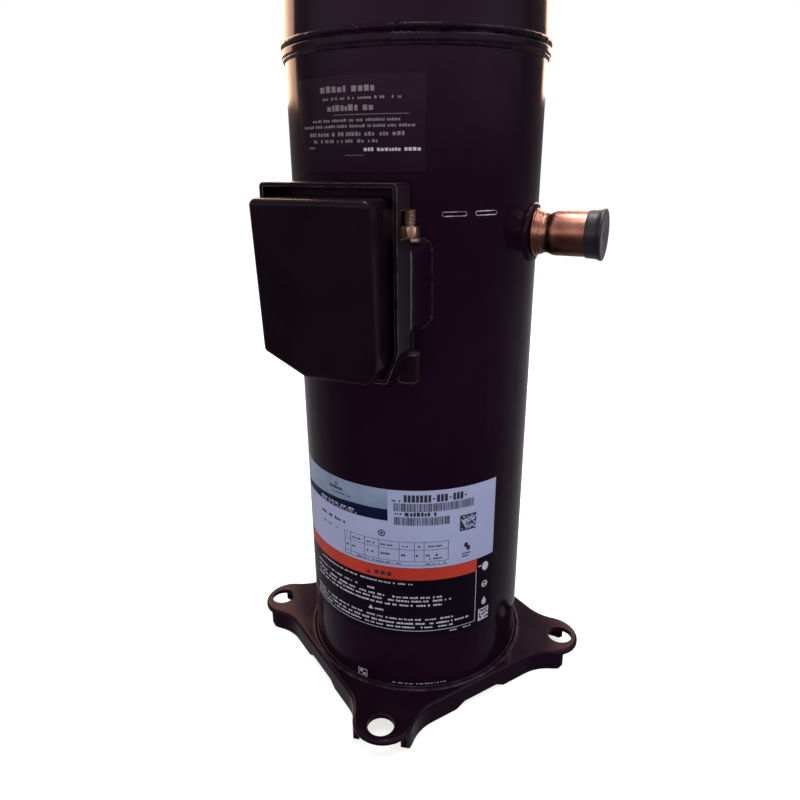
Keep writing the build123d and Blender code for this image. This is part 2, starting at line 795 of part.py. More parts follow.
def wrap_profile(turn, shift=0.0):
    """Sketch a spiral wall of even thickness."""
    steps = 44
    angles = [wrap_start + (wrap_end - wrap_start) * i / steps for i in range(steps + 1)]
    sides = []
    with BuildLine() as outline:
        for side_offset in (scroll_wall / 2, -scroll_wall / 2):
            points = [involute_point(angle, side_offset, turn) for angle in angles]
            sides.append(Spline(*[(x + shift, y) for x, y in points]))
        Line(sides[0] @ 0, sides[1] @ 0)
        Line(sides[0] @ 1, sides[1] @ 1)
    make_face(outline.edges())


with BuildPart() as orbiting_scroll:
    disc(orbit_plate_r, orbit_plate_low, orbit_floor_z, eccentric)
    disc(hub_r, hub_low, orbit_plate_low, eccentric)
    disc(hub_bore_r, hub_low, 382, eccentric, mode=Mode.SUBTRACT)
    with BuildSketch(Plane.XY.offset(orbit_floor_z)):
        wrap_profile(0.0, orbit_r)
    extrude(amount=fixed_floor_z - orbit_floor_z - tip_gap)
    # Slots along Y that the upper keys of the coupling ring slide in.
    with BuildSketch(Plane.XY.offset(orbit_plate_low)):
        with Locations((orbit_r, 62.2), (orbit_r, -62.2)):
            Rectangle(12.4, 24)
    extrude(amount=6, mode=Mode.SUBTRACT)

with BuildPart() as drive_bearing_bush:
    ring(drive_bush_r + fit, hub_bore_r - fit, hub_low + 0.9, 381, eccentric)

with BuildPart() as thrust_washer:
    ring(37, 51, thrust_face_z + 0.2, orbit_plate_low - 0.2, (orbit_r / 2, 0))

ring_low_z = web_top_z + clearance
ring_high_z = ring_low_z + 6.0
with BuildPart() as oldham_ring:
    ring(58, 69, ring_low_z, ring_high_z, eccentric)
    with BuildSketch(Plane.XY.offset(key_slot_floor + 0.4)):
        with Locations((orbit_r + 62, 0), (orbit_r - 62, 0)):
            Rectangle(10, 12)
    extrude(amount=ring_low_z - key_slot_floor)
    with BuildSketch(Plane.XY.offset(ring_high_z - 1)):
        with Locations((orbit_r, 61), (orbit_r, -61)):
            Rectangle(12, 10)
    extrude(amount=391.5 - ring_high_z + 1)

guide_sleeve_r = 6.0
flange_top_z = 452.0
fixed_plate_r = 72.0
fixed_plate_top_z = 461.0
seal_wall_top_z = 470.0
port_r = 6.5
with BuildPart() as non_orbiting_scroll:
    disc(fixed_plate_r, fixed_floor_z, fixed_plate_top_z)
    for angle in lobe_angles:
        with BuildSketch(Plane.XY.offset(post_top_z + clearance)):
            ring_sector(60, housing_r - 0.4, angle, 8.0)
        extrude(amount=flange_top_z - post_top_z - clearance)
        hole = outward(angle) * guide_r
        disc(guide_sleeve_r + 0.1, 430, 470, (hole.X, hole.Y), mode=Mode.SUBTRACT)
    ring(65.5, fixed_plate_r, orbit_floor_z + tip_gap, fixed_floor_z)
    with BuildSketch(Plane.XY.offset(orbit_floor_z + tip_gap)):
        wrap_profile(pi)
    extrude(amount=fixed_floor_z - orbit_floor_z - tip_gap)
    # Suction windows through the outer wall.
    for angle in (suction_angle, suction_angle + 180):
        with BuildSketch(Plane.XY.offset(405)):
            ring_sector(64, 74, angle, 16)
        extrude(amount=26, mode=Mode.SUBTRACT)
    disc(20, fixed_plate_top_z, seal_wall_top_z)
    ring(47, 54, fixed_plate_top_z, seal_wall_top_z)
    disc(port_r, fixed_floor_z - 1, seal_wall_top_z + 1, mode=Mode.SUBTRACT)

with BuildPart() as scroll_guide_sleeves:
    for angle in lobe_angles:
        spot = outward(angle) * guide_r
        ring(4.1, guide_sleeve_r - fit, post_top_z + 0.05, flange_top_z + 1.0, (spot.X, spot.Y))

with BuildPart() as scroll_guide_bolts:
    for angle in lobe_angles:
        spot = outward(angle) * guide_r
        disc(3.3, post_top_z - 24, post_top_z, (spot.X, spot.Y))
        disc(3.9, post_top_z, flange_top_z + 1.2, (spot.X, spot.Y))
        disc(6.3, flange_top_z + 1.1, flange_top_z + 2.6, (spot.X, spot.Y))
        with BuildSketch(Plane.XY.offset(flange_top_z + 2.6)):
            with Locations((spot.X, spot.Y)):
                RegularPolygon(6.0, 6)
        extrude(amount=5.5)

with BuildPart() as floating_seal:
    turned(Plane.XZ, Axis.Z, [
        (20.7, 461.6), (46.3, 461.6), (46.3, 466), (38, 467), (34, 473.4), (29, 473.4), (27, 467),
        (20.7, 466),
    ])

valve_seat_z = 470.8
with BuildPart() as discharge_valve_disc:
    disc(11, valve_seat_z, valve_seat_z + 1.2)

with BuildPart() as valve_retainer:
    disc(34, partition_top_z + 0.1, partition_top_z + 2.4)
    disc(8, 476.5, partition_top_z + 0.2)
    with BuildSketch(Plane.XY.offset(partition_top_z - 1)):
        with PolarLocations(16, 4):
            Circle(5.5)
    extrude(amount=5, mode=Mode.SUBTRACT)

# ================================================================ files
pieces = {
    "shell_tube": shell_tube,
    "top_cap": top_cap,
    "bottom_cap": bottom_cap,
    "partition_plate": partition_plate,
    "base_plate": base_plate,
    "suction_collar": suction_collar,
    "suction_fitting": suction_fitting,
    "suction_cap": suction_cap,
    "suction_baffle": suction_baffle,
    "discharge_collar": discharge_collar,
    "discharge_fitting": discharge_fitting,
    "discharge_cap": discharge_cap,
    "lifting_lug": lifting_lug,
    "terminal_fence": terminal_fence,
    "terminal_box_gasket": terminal_box_gasket,
    "terminal_box_base": terminal_box_base,
    "terminal_cover": terminal_cover,
    "conduit_plug": conduit_plug,
    "earth_stud": earth_stud,
    "hermetic_terminal": hermetic_terminal,
    "terminal_glass_seals": terminal_glass_seals,
    "terminal_pins": terminal_pins,
    "terminal_block": terminal_block,
    "terminal_nuts": terminal_nuts,
    "nameplate_label": nameplate_label,
    "upper_label": upper_label,
    "main_bearing_housing": main_bearing_housing,
    "main_bearing_bush": main_bearing_bush,
    "lower_bearing_bracket": lower_bearing_bracket,
    "lower_bearing_bush": lower_bearing_bush,
    "lower_thrust_plate": lower_thrust_plate,
    "lower_bearing_screws": lower_bearing_screws,
    "stator_core": stator_core,
    "stator_winding": stator_winding,
    "lead_plug": lead_plug,
    "motor_leads": motor_leads,
    "motor_protector": motor_protector,
    "rotor_core": rotor_core,
    "rotor_cage": rotor_cage,
    "upper_counterweight": upper_counterweight,
    "lower_counterweight": lower_counterweight,
    "sump_magnet": sump_magnet,
    "crankshaft": crankshaft,
    "oil_pickup": oil_pickup,
    "drive_bushing": drive_bushing,
    "orbiting_scroll": orbiting_scroll,
    "drive_bearing_bush": drive_bearing_bush,
    "thrust_washer": thrust_washer,
    "oldham_ring": oldham_ring,
    "non_orbiting_scroll": non_orbiting_scroll,
    "scroll_guide_sleeves": scroll_guide_sleeves,
    "scroll_guide_bolts": scroll_guide_bolts,
    "floating_seal": floating_seal,
    "discharge_valve_disc": discharge_valve_disc,
    "valve_retainer": valve_retainer,
}

os.makedirs("parts", exist_ok=True)
for name, piece in pieces.items():
    piece.part.label = name
    export_step(piece.part, f"parts/{name}.step")
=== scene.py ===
import json
import random
from math import ceil, cos, degrees, hypot, pi, radians, sin, sqrt

import bpy
from mathutils import Matrix, Vector, noise
from mathutils.bvhtree import BVHTree


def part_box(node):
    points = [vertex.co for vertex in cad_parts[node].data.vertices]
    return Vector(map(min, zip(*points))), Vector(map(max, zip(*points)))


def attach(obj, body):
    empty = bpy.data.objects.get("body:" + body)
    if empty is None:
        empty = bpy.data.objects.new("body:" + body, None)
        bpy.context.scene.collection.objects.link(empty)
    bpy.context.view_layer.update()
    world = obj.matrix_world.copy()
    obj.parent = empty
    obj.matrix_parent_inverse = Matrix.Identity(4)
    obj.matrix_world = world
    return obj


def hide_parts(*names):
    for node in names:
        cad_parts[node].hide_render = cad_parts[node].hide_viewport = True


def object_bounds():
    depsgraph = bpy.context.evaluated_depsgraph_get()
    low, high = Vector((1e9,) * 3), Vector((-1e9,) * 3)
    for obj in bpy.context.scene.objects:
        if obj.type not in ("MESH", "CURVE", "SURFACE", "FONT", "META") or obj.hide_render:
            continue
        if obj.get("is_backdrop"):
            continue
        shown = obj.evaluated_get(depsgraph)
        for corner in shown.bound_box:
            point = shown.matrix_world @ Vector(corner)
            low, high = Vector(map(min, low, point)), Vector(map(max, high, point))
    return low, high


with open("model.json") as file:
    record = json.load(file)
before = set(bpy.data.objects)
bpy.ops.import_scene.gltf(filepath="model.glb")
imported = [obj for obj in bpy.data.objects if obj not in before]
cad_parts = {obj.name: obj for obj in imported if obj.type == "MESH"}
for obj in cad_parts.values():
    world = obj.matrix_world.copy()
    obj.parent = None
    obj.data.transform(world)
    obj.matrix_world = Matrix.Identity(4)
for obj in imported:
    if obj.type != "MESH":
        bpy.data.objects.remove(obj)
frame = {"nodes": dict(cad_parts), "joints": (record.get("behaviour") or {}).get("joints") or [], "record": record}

# Looks of the hermetic scroll compressor, in metres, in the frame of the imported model.
MM = 0.001
cad_low, cad_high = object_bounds()
random.seed(7)

# The side that the object is seen from, as a turn round the shaft.
view_turn = radians(56.46)

# ---------------------------------------------------------------- places read from the frame
mounts = {m["name"]: m for m in frame["record"]["mounts"]}
joints = {j["name"]: j for j in frame["joints"]}
shell_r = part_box("shell_tube")[1].x
label_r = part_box("nameplate_label")[1].x
seam_low, seam_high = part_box("partition_plate")
suction_axis = Vector(mounts["suction_port"]["axis"])
suction_z = mounts["suction_port"]["pos_m"][2]
discharge_centre = Vector(mounts["discharge_port"]["pos_m"]).to_2d().to_3d()
discharge_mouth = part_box("discharge_fitting")[1].z
box_axis = Vector(joints["cover_pull"]["axis"])
box_side = Vector((-box_axis.y, box_axis.x, 0))
lug_pos = Vector(mounts["lug_eye"]["pos_m"])
floor_z = cad_low.z


def polar(angle, radius, z):
    """Point at an angle in degrees round the shaft."""
    return Vector((radius * cos(radians(angle)), radius * sin(radians(angle)), z))


def depth_along(node, axis):
    """Least and greatest distance of a CAD node along an axis."""
    reach = [v.co.dot(axis) for v in frame["nodes"][node].data.vertices]
    return min(reach), max(reach)


# ---------------------------------------------------------------- material nodes
def add_node(tree, kind, inputs=None, **settings):
    """Make a node, set its properties, and fill or link its inputs."""
    node = tree.nodes.new(kind)
    for name, value in settings.items():
        setattr(node, name, value)
    for name, value in (inputs or {}).items():
        if isinstance(value, bpy.types.NodeSocket):
            tree.links.new(value, node.inputs[name])
        else:
            node.inputs[name].default_value = value
    return node


def noise_mask(tree, coords, scale, low, high, detail=4.0, stretch=None):
    """A noise from 0 to 1, spread between two thresholds."""
    if stretch:
        coords = add_node(tree, "ShaderNodeMapping", {"Vector": coords, "Scale": stretch}).outputs[0]
    grain = add_node(tree, "ShaderNodeTexNoise", {"Vector": coords, "Scale": scale, "Detail": detail})
    return add_node(
        tree, "ShaderNodeMapRange",
        {"Value": grain.outputs[0], "From Min": low, "From Max": high},
    ).outputs[0]


def mix_colours(tree, factor, first, second):
    """Mix of two colours or colour sockets."""
    mix = add_node(tree, "ShaderNodeMix", data_type="RGBA")
    for socket, value in ((0, factor), (6, first), (7, second)):
        if isinstance(value, bpy.types.NodeSocket):
            tree.links.new(value, mix.inputs[socket])
        else:
            mix.inputs[socket].default_value = (*value, 1) if socket else value
    return mix.outputs[2]


def surface(
    name, dark, light, rough=(0.3, 0.4), metallic=0.0, patch_scale=12.0, fine=(400.0, 0.00004),
    broad=None, coat=0.0, coat_rough=0.05, ior=1.45, dust=None, edge=None, scratch=0.0,
    stretch=None, transmission=0.0, sheen=0.0, tint=None,
):
    """A material of two mixed tones, varied roughness, fine and broad bumps, dust, a painted highlight on convex
    edges that partly stands for wear, and scratches.
    """
    material = bpy.data.materials.new(name)
    material.use_nodes = True
    tree = material.node_tree
    shader = tree.nodes["Principled BSDF"]
    coords = add_node(tree, "ShaderNodeTexCoord").outputs["Object"]
    colour = mix_colours(tree, noise_mask(tree, coords, patch_scale, 0.35, 0.65), dark, light)
    if dust:
        tone, amount = dust
        normal = add_node(tree, "ShaderNodeNewGeometry").outputs["Normal"]
        up = add_node(tree, "ShaderNodeSeparateXYZ", {"Vector": normal}).outputs["Z"]
        facing = add_node(tree, "ShaderNodeMapRange", {"Value": up, "From Min": 0.55, "From Max": 1.0})
        film = noise_mask(tree, coords, 45.0, 0.3, 0.75, detail=8.0)
        settled = add_node(tree, "ShaderNodeMath", {0: facing.outputs[0], 1: film}, operation="MULTIPLY")
        share = add_node(tree, "ShaderNodeMath", {0: settled.outputs[0], 1: amount}, operation="MULTIPLY")
        colour = mix_colours(tree, share.outputs[0], colour, tone)
    rounded = None
    # Convex edges get a painted highlight, partly standing for wear: the edge tone is mixed into the colour where
    # the Bevel normal turns away from the flat one.
    if edge:
        tone, amount, radius = edge
        rounded = add_node(tree, "ShaderNodeBevel", {"Radius": radius}, samples=4).outputs[0]
        flat = add_node(tree, "ShaderNodeNewGeometry").outputs["Normal"]
        along = add_node(tree, "ShaderNodeVectorMath", {0: rounded, 1: flat}, operation="DOT_PRODUCT")
        bend = add_node(
            tree, "ShaderNodeMapRange",
            {"Value": along.outputs["Value"], "From Min": 0.995, "From Max": 0.93, "To Max": amount},
        )
        edge_highlight_and_wear = add_node(
            tree, "ShaderNodeMath",
            {0: bend.outputs[0], 1: noise_mask(tree, coords, 120.0, 0.35, 0.6)}, operation="MULTIPLY",
        )
        colour = mix_colours(tree, edge_highlight_and_wear.outputs[0], colour, tone)
    tree.links.new(colour, shader.inputs["Base Color"])
    patches = add_node(
        tree, "ShaderNodeMapRange",
        {"Value": noise_mask(tree, coords, 3 * patch_scale, 0.3, 0.7, stretch=stretch),
         "To Min": rough[0], "To Max": rough[1]},
    )
    tree.links.new(patches.outputs[0], shader.inputs["Roughness"])
    normal_input = {"Normal": rounded} if rounded else {}
    if broad:
        swell = add_node(tree, "ShaderNodeTexNoise", {"Vector": coords, "Scale": broad[0], "Detail": 1.0})
        bump = add_node(
            tree, "ShaderNodeBump",
            {"Height": swell.outputs[0], "Distance": broad[1], "Strength": 1.0, **normal_input},
        )
        normal_input = {"Normal": bump.outputs[0]}
    grain = noise_mask(tree, coords, fine[0], 0.2, 0.8, detail=3.0, stretch=stretch)
    bump = add_node(
        tree, "ShaderNodeBump", {"Height": grain, "Distance": fine[1], "Strength": 1.0, **normal_input}
    )
    if scratch:
        lines = noise_mask(tree, coords, 160.0, 0.60, 0.64, detail=2.0, stretch=(1.0, 1.0, 0.06))
        bump = add_node(
            tree, "ShaderNodeBump",
            {"Height": lines, "Distance": scratch, "Strength": 1.0, "Normal": bump.outputs[0]},
            invert=True,
        )
    tree.links.new(bump.outputs[0], shader.inputs["Normal"])
    shader.inputs["Metallic"].default_value = metallic
    shader.inputs["IOR"].default_value = ior
    if tint:
        shader.inputs["Specular Tint"].default_value = (*tint, 1)
    shader.inputs["Coat Weight"].default_value = coat
    shader.inputs["Coat Roughness"].default_value = coat_rough
    shader.inputs["Transmission Weight"].default_value = transmission
    shader.inputs["Sheen Weight"].default_value = sheen
    return material


dust_tone = (0.060, 0.044, 0.038)
plum = (1.0, 0.62, 0.95)
ink_rough = (0.3, 0.42)
materials = {
    "black_enamel": surface(
        "black_enamel", (0.0030, 0.0009, 0.0031), (0.0058, 0.0019, 0.0054), rough=(0.09, 0.16),
        patch_scale=9.0, fine=(900.0, 0.000010), broad=(16.0, 0.0006), ior=1.145,
        # The edge tone is a painted highlight on convex edges, partly wear.
        dust=(dust_tone, 0.04), edge=((0.09, 0.078, 0.085), 0.45, 0.0011), scratch=0.000007, tint=plum,
    ),
    "copper_tube": surface(
        "copper_tube", (0.135, 0.050, 0.036), (0.25, 0.112, 0.082), rough=(0.24, 0.38), metallic=1.0,
        patch_scale=55.0, fine=(1500.0, 0.00001), broad=(70.0, 0.00008), scratch=0.00001,
    ),
    "cap_rubber": surface(
        "cap_rubber", (0.0042, 0.0036, 0.0066), (0.0080, 0.0068, 0.0118), rough=(0.34, 0.48),
        patch_scale=60.0, fine=(1300.0, 0.00005), dust=((0.08, 0.07, 0.07), 0.15), sheen=0.04, ior=1.3,
    ),
    "box_plastic": surface(
        "box_plastic", (0.0020, 0.0009, 0.0021), (0.0040, 0.0020, 0.0036), rough=(0.18, 0.30),
        patch_scale=22.0, fine=(1400.0, 0.000012), broad=(25.0, 0.0004), ior=1.155,
        # The edge tone is a painted highlight on the box's convex edges, partly wear.
        dust=(dust_tone, 0.08), edge=((0.13, 0.12, 0.125), 0.5, 0.0009), scratch=0.00001, tint=plum,
    ),
    "gasket_foam": surface(
        "gasket_foam", (0.03, 0.03, 0.03), (0.05, 0.05, 0.05), rough=(0.8, 0.95), fine=(1600.0, 0.0002),
    ),
    "white_label": surface(
        "white_label", (0.140, 0.156, 0.262), (0.160, 0.175, 0.290), rough=(0.32, 0.44), patch_scale=14.0,
        fine=(500.0, 0.000008), broad=(60.0, 0.00012),
    ),
    "dark_label": surface(
        "dark_label", (0.0036, 0.0014, 0.0038), (0.0062, 0.0026, 0.0060), rough=(0.16, 0.24),
        fine=(600.0, 0.00001), broad=(50.0, 0.0001), ior=1.16, tint=plum,
    ),
    "brass_hardware": surface(
        "brass_hardware", (0.15, 0.092, 0.066), (0.33, 0.225, 0.175), rough=(0.22, 0.40), metallic=1.0,
        patch_scale=90.0, fine=(1500.0, 0.00002),
    ),
    "plated_steel": surface(
        "plated_steel", (0.42, 0.42, 0.44), (0.60, 0.60, 0.62), rough=(0.25, 0.42), metallic=1.0,
        patch_scale=60.0, fine=(900.0, 0.00002),
    ),
    "terminal_glass": surface(
        "terminal_glass", (0.06, 0.12, 0.10), (0.10, 0.18, 0.15), rough=(0.05, 0.12), patch_scale=200.0,
        fine=(900.0, 0.00001), transmission=0.4, ior=1.52,
    ),
    "moulded_plastic": surface(
        "moulded_plastic", (0.045, 0.045, 0.05), (0.07, 0.07, 0.075), rough=(0.45, 0.6),
        patch_scale=80.0, fine=(1500.0, 0.00003),
    ),
    "cast_iron": surface(
        "cast_iron", (0.10, 0.10, 0.105), (0.19, 0.19, 0.20), rough=(0.5, 0.68), metallic=0.6,
        patch_scale=40.0, fine=(700.0, 0.00015), broad=(150.0, 0.0002),
    ),
    "bronze": surface(
        "bronze", (0.36, 0.23, 0.11), (0.50, 0.34, 0.18), rough=(0.25, 0.38), metallic=1.0,
        patch_scale=70.0, fine=(1100.0, 0.00002), stretch=(1.0, 1.0, 0.1),
    ),
    "ground_steel": surface(
        "ground_steel", (0.40, 0.40, 0.42), (0.55, 0.55, 0.57), rough=(0.18, 0.30), metallic=1.0,
        patch_scale=50.0, fine=(900.0, 0.000012), stretch=(0.15, 0.15, 6.0),
    ),
    "lamination_steel": surface(
        "lamination_steel", (0.16, 0.16, 0.18), (0.27, 0.27, 0.29), rough=(0.35, 0.5), metallic=0.9,
        patch_scale=30.0, fine=(260.0, 0.00025), stretch=(0.02, 0.02, 8.0),
    ),
    "winding_copper": surface(
        "winding_copper", (0.25, 0.07, 0.025), (0.45, 0.16, 0.06), rough=(0.25, 0.4), metallic=0.7,
        patch_scale=50.0, fine=(420.0, 0.0005), coat=0.5, stretch=(0.4, 0.4, 3.0),
    ),
    "die_cast_aluminium": surface(
        "die_cast_aluminium", (0.52, 0.52, 0.54), (0.68, 0.68, 0.70), rough=(0.35, 0.5), metallic=1.0,
        patch_scale=45.0, fine=(600.0, 0.00006),
    ),
    "protector_can": surface(
        "protector_can", (0.38, 0.38, 0.39), (0.5, 0.5, 0.5), rough=(0.3, 0.42), metallic=1.0,
        patch_scale=90.0, fine=(900.0, 0.00002),
    ),
    "magnet_ferrite": surface(
        "magnet_ferrite", (0.025, 0.025, 0.025), (0.045, 0.045, 0.045), rough=(0.6, 0.75),
        patch_scale=90.0, fine=(900.0, 0.0001),
    ),
}
ink = {
    "black": surface("ink_black", (0.008, 0.007, 0.015), (0.016, 0.014, 0.026), rough=ink_rough, ior=1.2),
    "navy": surface(
        "ink_navy", (0.0012, 0.0022, 0.014), (0.0024, 0.0045, 0.022), rough=ink_rough, ior=1.12,
    ),
    "slate": surface("ink_slate", (0.048, 0.068, 0.108), (0.122, 0.158, 0.238), rough=ink_rough, ior=1.3),
    "orange": surface(
        "ink_orange", (0.180, 0.0110, 0.0062), (0.240, 0.0190, 0.0100), rough=ink_rough, ior=1.2,
    ),
    "panel": surface(
        "ink_panel", (0.0014, 0.0009, 0.0024), (0.0030, 0.0019, 0.0042), rough=(0.22, 0.34), ior=1.13,
        tint=plum,
    ),
    "white": surface("ink_white", (0.17, 0.165, 0.22), (0.26, 0.25, 0.33), rough=(0.35, 0.45)),
    "grey": surface("ink_grey", (0.040, 0.032, 0.041), (0.080, 0.068, 0.082), rough=(0.35, 0.5)),
}

for entry in frame["record"]["subparts"]:
    mesh = frame["nodes"][entry["node"]].data
    mesh.materials.clear()
    mesh.materials.append(materials[entry["material_slot"]])


# ---------------------------------------------------------------- making pieces
sharp_angle = radians(38)


def piece(name, verts, faces, material, body, replaces=()):
    """A new smooth-shaded piece that rides on a body."""
    mesh = bpy.data.meshes.new(name)
    mesh.from_pydata(verts, [], faces)
    mesh.validate()
    mesh.polygons.foreach_set("use_smooth", [True] * len(mesh.polygons))
    mesh.set_sharp_from_angle(angle=sharp_angle)
    mesh.materials.append(material)
    made = bpy.data.objects.new(name, mesh)
    bpy.context.scene.collection.objects.link(made)
    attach(made, body)
    if replaces:
        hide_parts(*replaces)
    return made


def rounded_profile(points, steps=5):
    """Points (along, radius, corner radius) with each corner turned into an arc-like curve."""
    path = []
    count = len(points)
    for i, (along, radius, corner) in enumerate(points):
        here = Vector((along, radius))
        before = Vector(points[i - 1][:2]) - here
        after = Vector(points[(i + 1) % count][:2]) - here
        if corner == 0 or not before.length or not after.length:
            path.append(here)
            continue
        reach = min(corner, 0.48 * before.length, 0.48 * after.length)
        start = here + before.normalized() * reach
        end = here + after.normalized() * reach
        for step in range(steps + 1):
            t = step / steps
            path.append(start * (1 - t) ** 2 + here * 2 * t * (1 - t) + end * t * t)
    return path


def lathe(name, points, origin, axis, material, body, replaces=(), sides=96, wobble=None):
    """A closed profile of (along, radius, corner) in millimetres, turned about an axis."""
    axis = axis.normalized()
    across = axis.orthogonal().normalized()
    other = axis.cross(across)
    path = rounded_profile(points)
    verts, faces, rings = [], [], []
    for along, radius in path:
        if radius < 1e-6:
            rings.append([len(verts)])
            verts.append(origin + axis * along * MM)
            continue
        first = len(verts)
        for side in range(sides):
            turn = 2 * pi * side / sides
            out = across * cos(turn) + other * sin(turn)
            spot = origin + (axis * along + out * radius) * MM
            if wobble:
                spot += out * wobble * noise.noise(spot * 90)
            verts.append(spot)
        rings.append(range(first, first + sides))
    for here, there in zip(rings, rings[1:] + rings[:1]):
        if len(here) == 1 and len(there) == 1:
            continue
        for side in range(sides):
            after = (side + 1) % sides
            a, b = (here[0], here[0]) if len(here) == 1 else (here[side], here[after])
            c, d = (there[0], there[0]) if len(there) == 1 else (there[after], there[side])
            faces.append(tuple(dict.fromkeys((a, b, c, d))))
    return piece(name, verts, faces, material, body, replaces)


def bead(name, path, radius, material, body, closed=True, ripple=0.16, pitch=2.4, sides=10):
    """A weld bead: a tube with the overlapping ripples of its passes, along a path of points."""
    spacing = pitch * MM / 6
    dense = []
    ends = path + path[:1] if closed else path
    for start, end in zip(ends, ends[1:]):
        count = max(1, round((end - start).length / spacing))
        dense += [start.lerp(end, i / count) for i in range(count)]
    if not closed:
        dense.append(ends[-1])
    total = len(dense)
    verts, faces = [], []
    travelled = 0.0
    for i, spot in enumerate(dense):
        before = dense[i - 1] if closed or i else spot
        after = dense[(i + 1) % total] if closed or i < total - 1 else spot
        along = (after - before).normalized()
        across = along.cross(Vector((0, 0, 1)))
        if across.length < 0.1:
            across = along.cross(Vector((1, 0, 0)))
        across.normalize()
        rise = across.cross(along)
        travelled += (spot - before).length if i else 0
        phase = (travelled / (pitch * MM)) % 1.0
        size = radius * (1 + ripple * (1 - phase) ** 1.6 - ripple / 2 + 0.18 * noise.noise(spot * 160))
        if not closed:
            size *= min(1.0, 0.25 + min(i, total - 1 - i) / 14)
        for side in range(sides):
            turn = 2 * pi * side / sides
            verts.append(spot + (across * cos(turn) + rise * sin(turn)) * size * MM)
    span = total if closed else total - 1
    for i in range(span):
        for side in range(sides):
            a, b = i * sides + side, i * sides + (side + 1) % sides
            c, d = (((i + 1) % total) * sides + k for k in ((side + 1) % sides, side))
            faces.append((a, b, c, d))
    if not closed:
        faces.append(tuple(range(sides))[::-1])
        faces.append(tuple((total - 1) * sides + k for k in range(sides)))
    return piece(name, verts, faces, material, body)


cap_mesh = frame["nodes"]["top_cap"].data
cap_tree = BVHTree.FromPolygons([v.co for v in cap_mesh.vertices], [p.vertices for p in cap_mesh.polygons])


def cap_height(x, y):
    """Height of the top cap's outside at a place."""
    return cap_tree.ray_cast(Vector((x, y, cad_high.z + 0.1)), Vector((0, 0, -1)))[0].z


def circle_path(centre, radius, height, count=180):
    """Points round a circle at a height, or at what height(x, y) gives."""
    points = []
    for i in range(count):
        turn = radians(360 * i / count)
        x, y = centre.x + radius * cos(turn), centre.y + radius * sin(turn)
        points.append(Vector((x, y, height(x, y) if callable(height) else height)))
    return points


# ---------------------------------------------------------------- welds on the shell
enamel = materials["black_enamel"]
seam_weld_z = seam_high.z + 0.4 * MM
seam_lower_z = seam_low.z - 0.3 * MM
foot_weld_z = -0.2 * MM
seam_weld_r, seam_lower_r, foot_weld_r = 92.7 * MM, 92.1 * MM, 92.6 * MM
bead(
    "seam_weld", circle_path(Vector(), seam_weld_r, seam_weld_z), 2.1, enamel, "shell",
    ripple=0.05,
)
bead(
    "seam_weld_lower", circle_path(Vector(), seam_lower_r, seam_lower_z), 1.5, enamel, "shell",
    ripple=0.03,
)
start_angle = -58.0
start_r = 94.0 * MM
bead(
    "seam_weld_start",
    [polar(start_angle + a, start_r, seam_weld_z + 0.3 * MM * sin(a)) for a in (0, 1.2, 2.4, 3.6)],
    2.6, enamel, "shell", closed=False, ripple=0.3,
)
bead(
    "foot_weld", circle_path(Vector(), foot_weld_r, foot_weld_z), 1.5, enamel, "shell",
    pitch=3.2,
)
discharge_weld_r = 19.2 * MM
bead(
    "discharge_weld", circle_path(discharge_centre, discharge_weld_r, cap_height, count=90), 1.7, enamel,
    "shell",
)
lug_out = Vector((lug_pos.x, lug_pos.y, 0)).normalized()
lug_side = Vector((-lug_out.y, lug_out.x, 0))
lug_half = 3.0 * MM
lug_start, lug_step = 50.0 * MM, 2.7 * MM
weld_stand = 0.5 * MM
for side, end in ((-1, "left"), (1, "right")):
    spots = []
    for step in range(15):
        spot = lug_out * (lug_start + lug_step * step) + lug_side * side * (lug_half + weld_stand)
        spots.append(Vector((spot.x, spot.y, cap_height(spot.x, spot.y) + weld_stand)))
    bead(f"lug_weld_{end}", spots, 2.0, enamel, "shell", closed=False)

fence_low, fence_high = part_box("terminal_fence")
fence_half = depth_along("terminal_fence", box_side)[1]


def on_shell(side, z, stand=0.0):
    """Point on the shell, to one side of the terminal box's middle."""
    return box_axis * (sqrt(shell_r ** 2 - side ** 2) + stand) + box_side * side + Vector((0, 0, z))


def fence_outline():
    """The fence's footprint on the shell, with its rounded corners."""
    corner = 7.0 * MM
    across = fence_half - corner
    high, low = fence_high.z - corner, fence_low.z + corner
    points = []
    middles = ((across, high, 0), (-across, high, 90), (-across, low, 180), (across, low, 270))
    for side, z, first in middles:
        for step in range(7):
            turn = radians(first + 15 * step)
            points.append((side + corner * cos(turn), z + corner * sin(turn)))
    dense = []
    for (s0, z0), (s1, z1) in zip(points, points[1:] + points[:1]):
        count = max(1, ceil(hypot(s1 - s0, z1 - z0) / (4 * MM)))
        dense += [(s0 + (s1 - s0) * i / count, z0 + (z1 - z0) * i / count) for i in range(count)]
    return [on_shell(s, z, 0.4 * MM) for s, z in dense]


bead("fence_weld", fence_outline(), 1.6, enamel, "shell", pitch=2.8)

# ---------------------------------------------------------------- suction stub and its plug
copper = materials["copper_tube"]
rubber = materials["cap_rubber"]
suction_origin = Vector((0, 0, suction_z))
stub_start, stub_mouth = (d / MM for d in depth_along("suction_fitting", suction_axis))
bore = mounts["suction_port"]["dims"]["r_mm"]
tube_r = bore + 1.1
neck_in_r, neck_out_r = 12.6, 13.75
neck_end = 104.2
flare_foot = 94.4
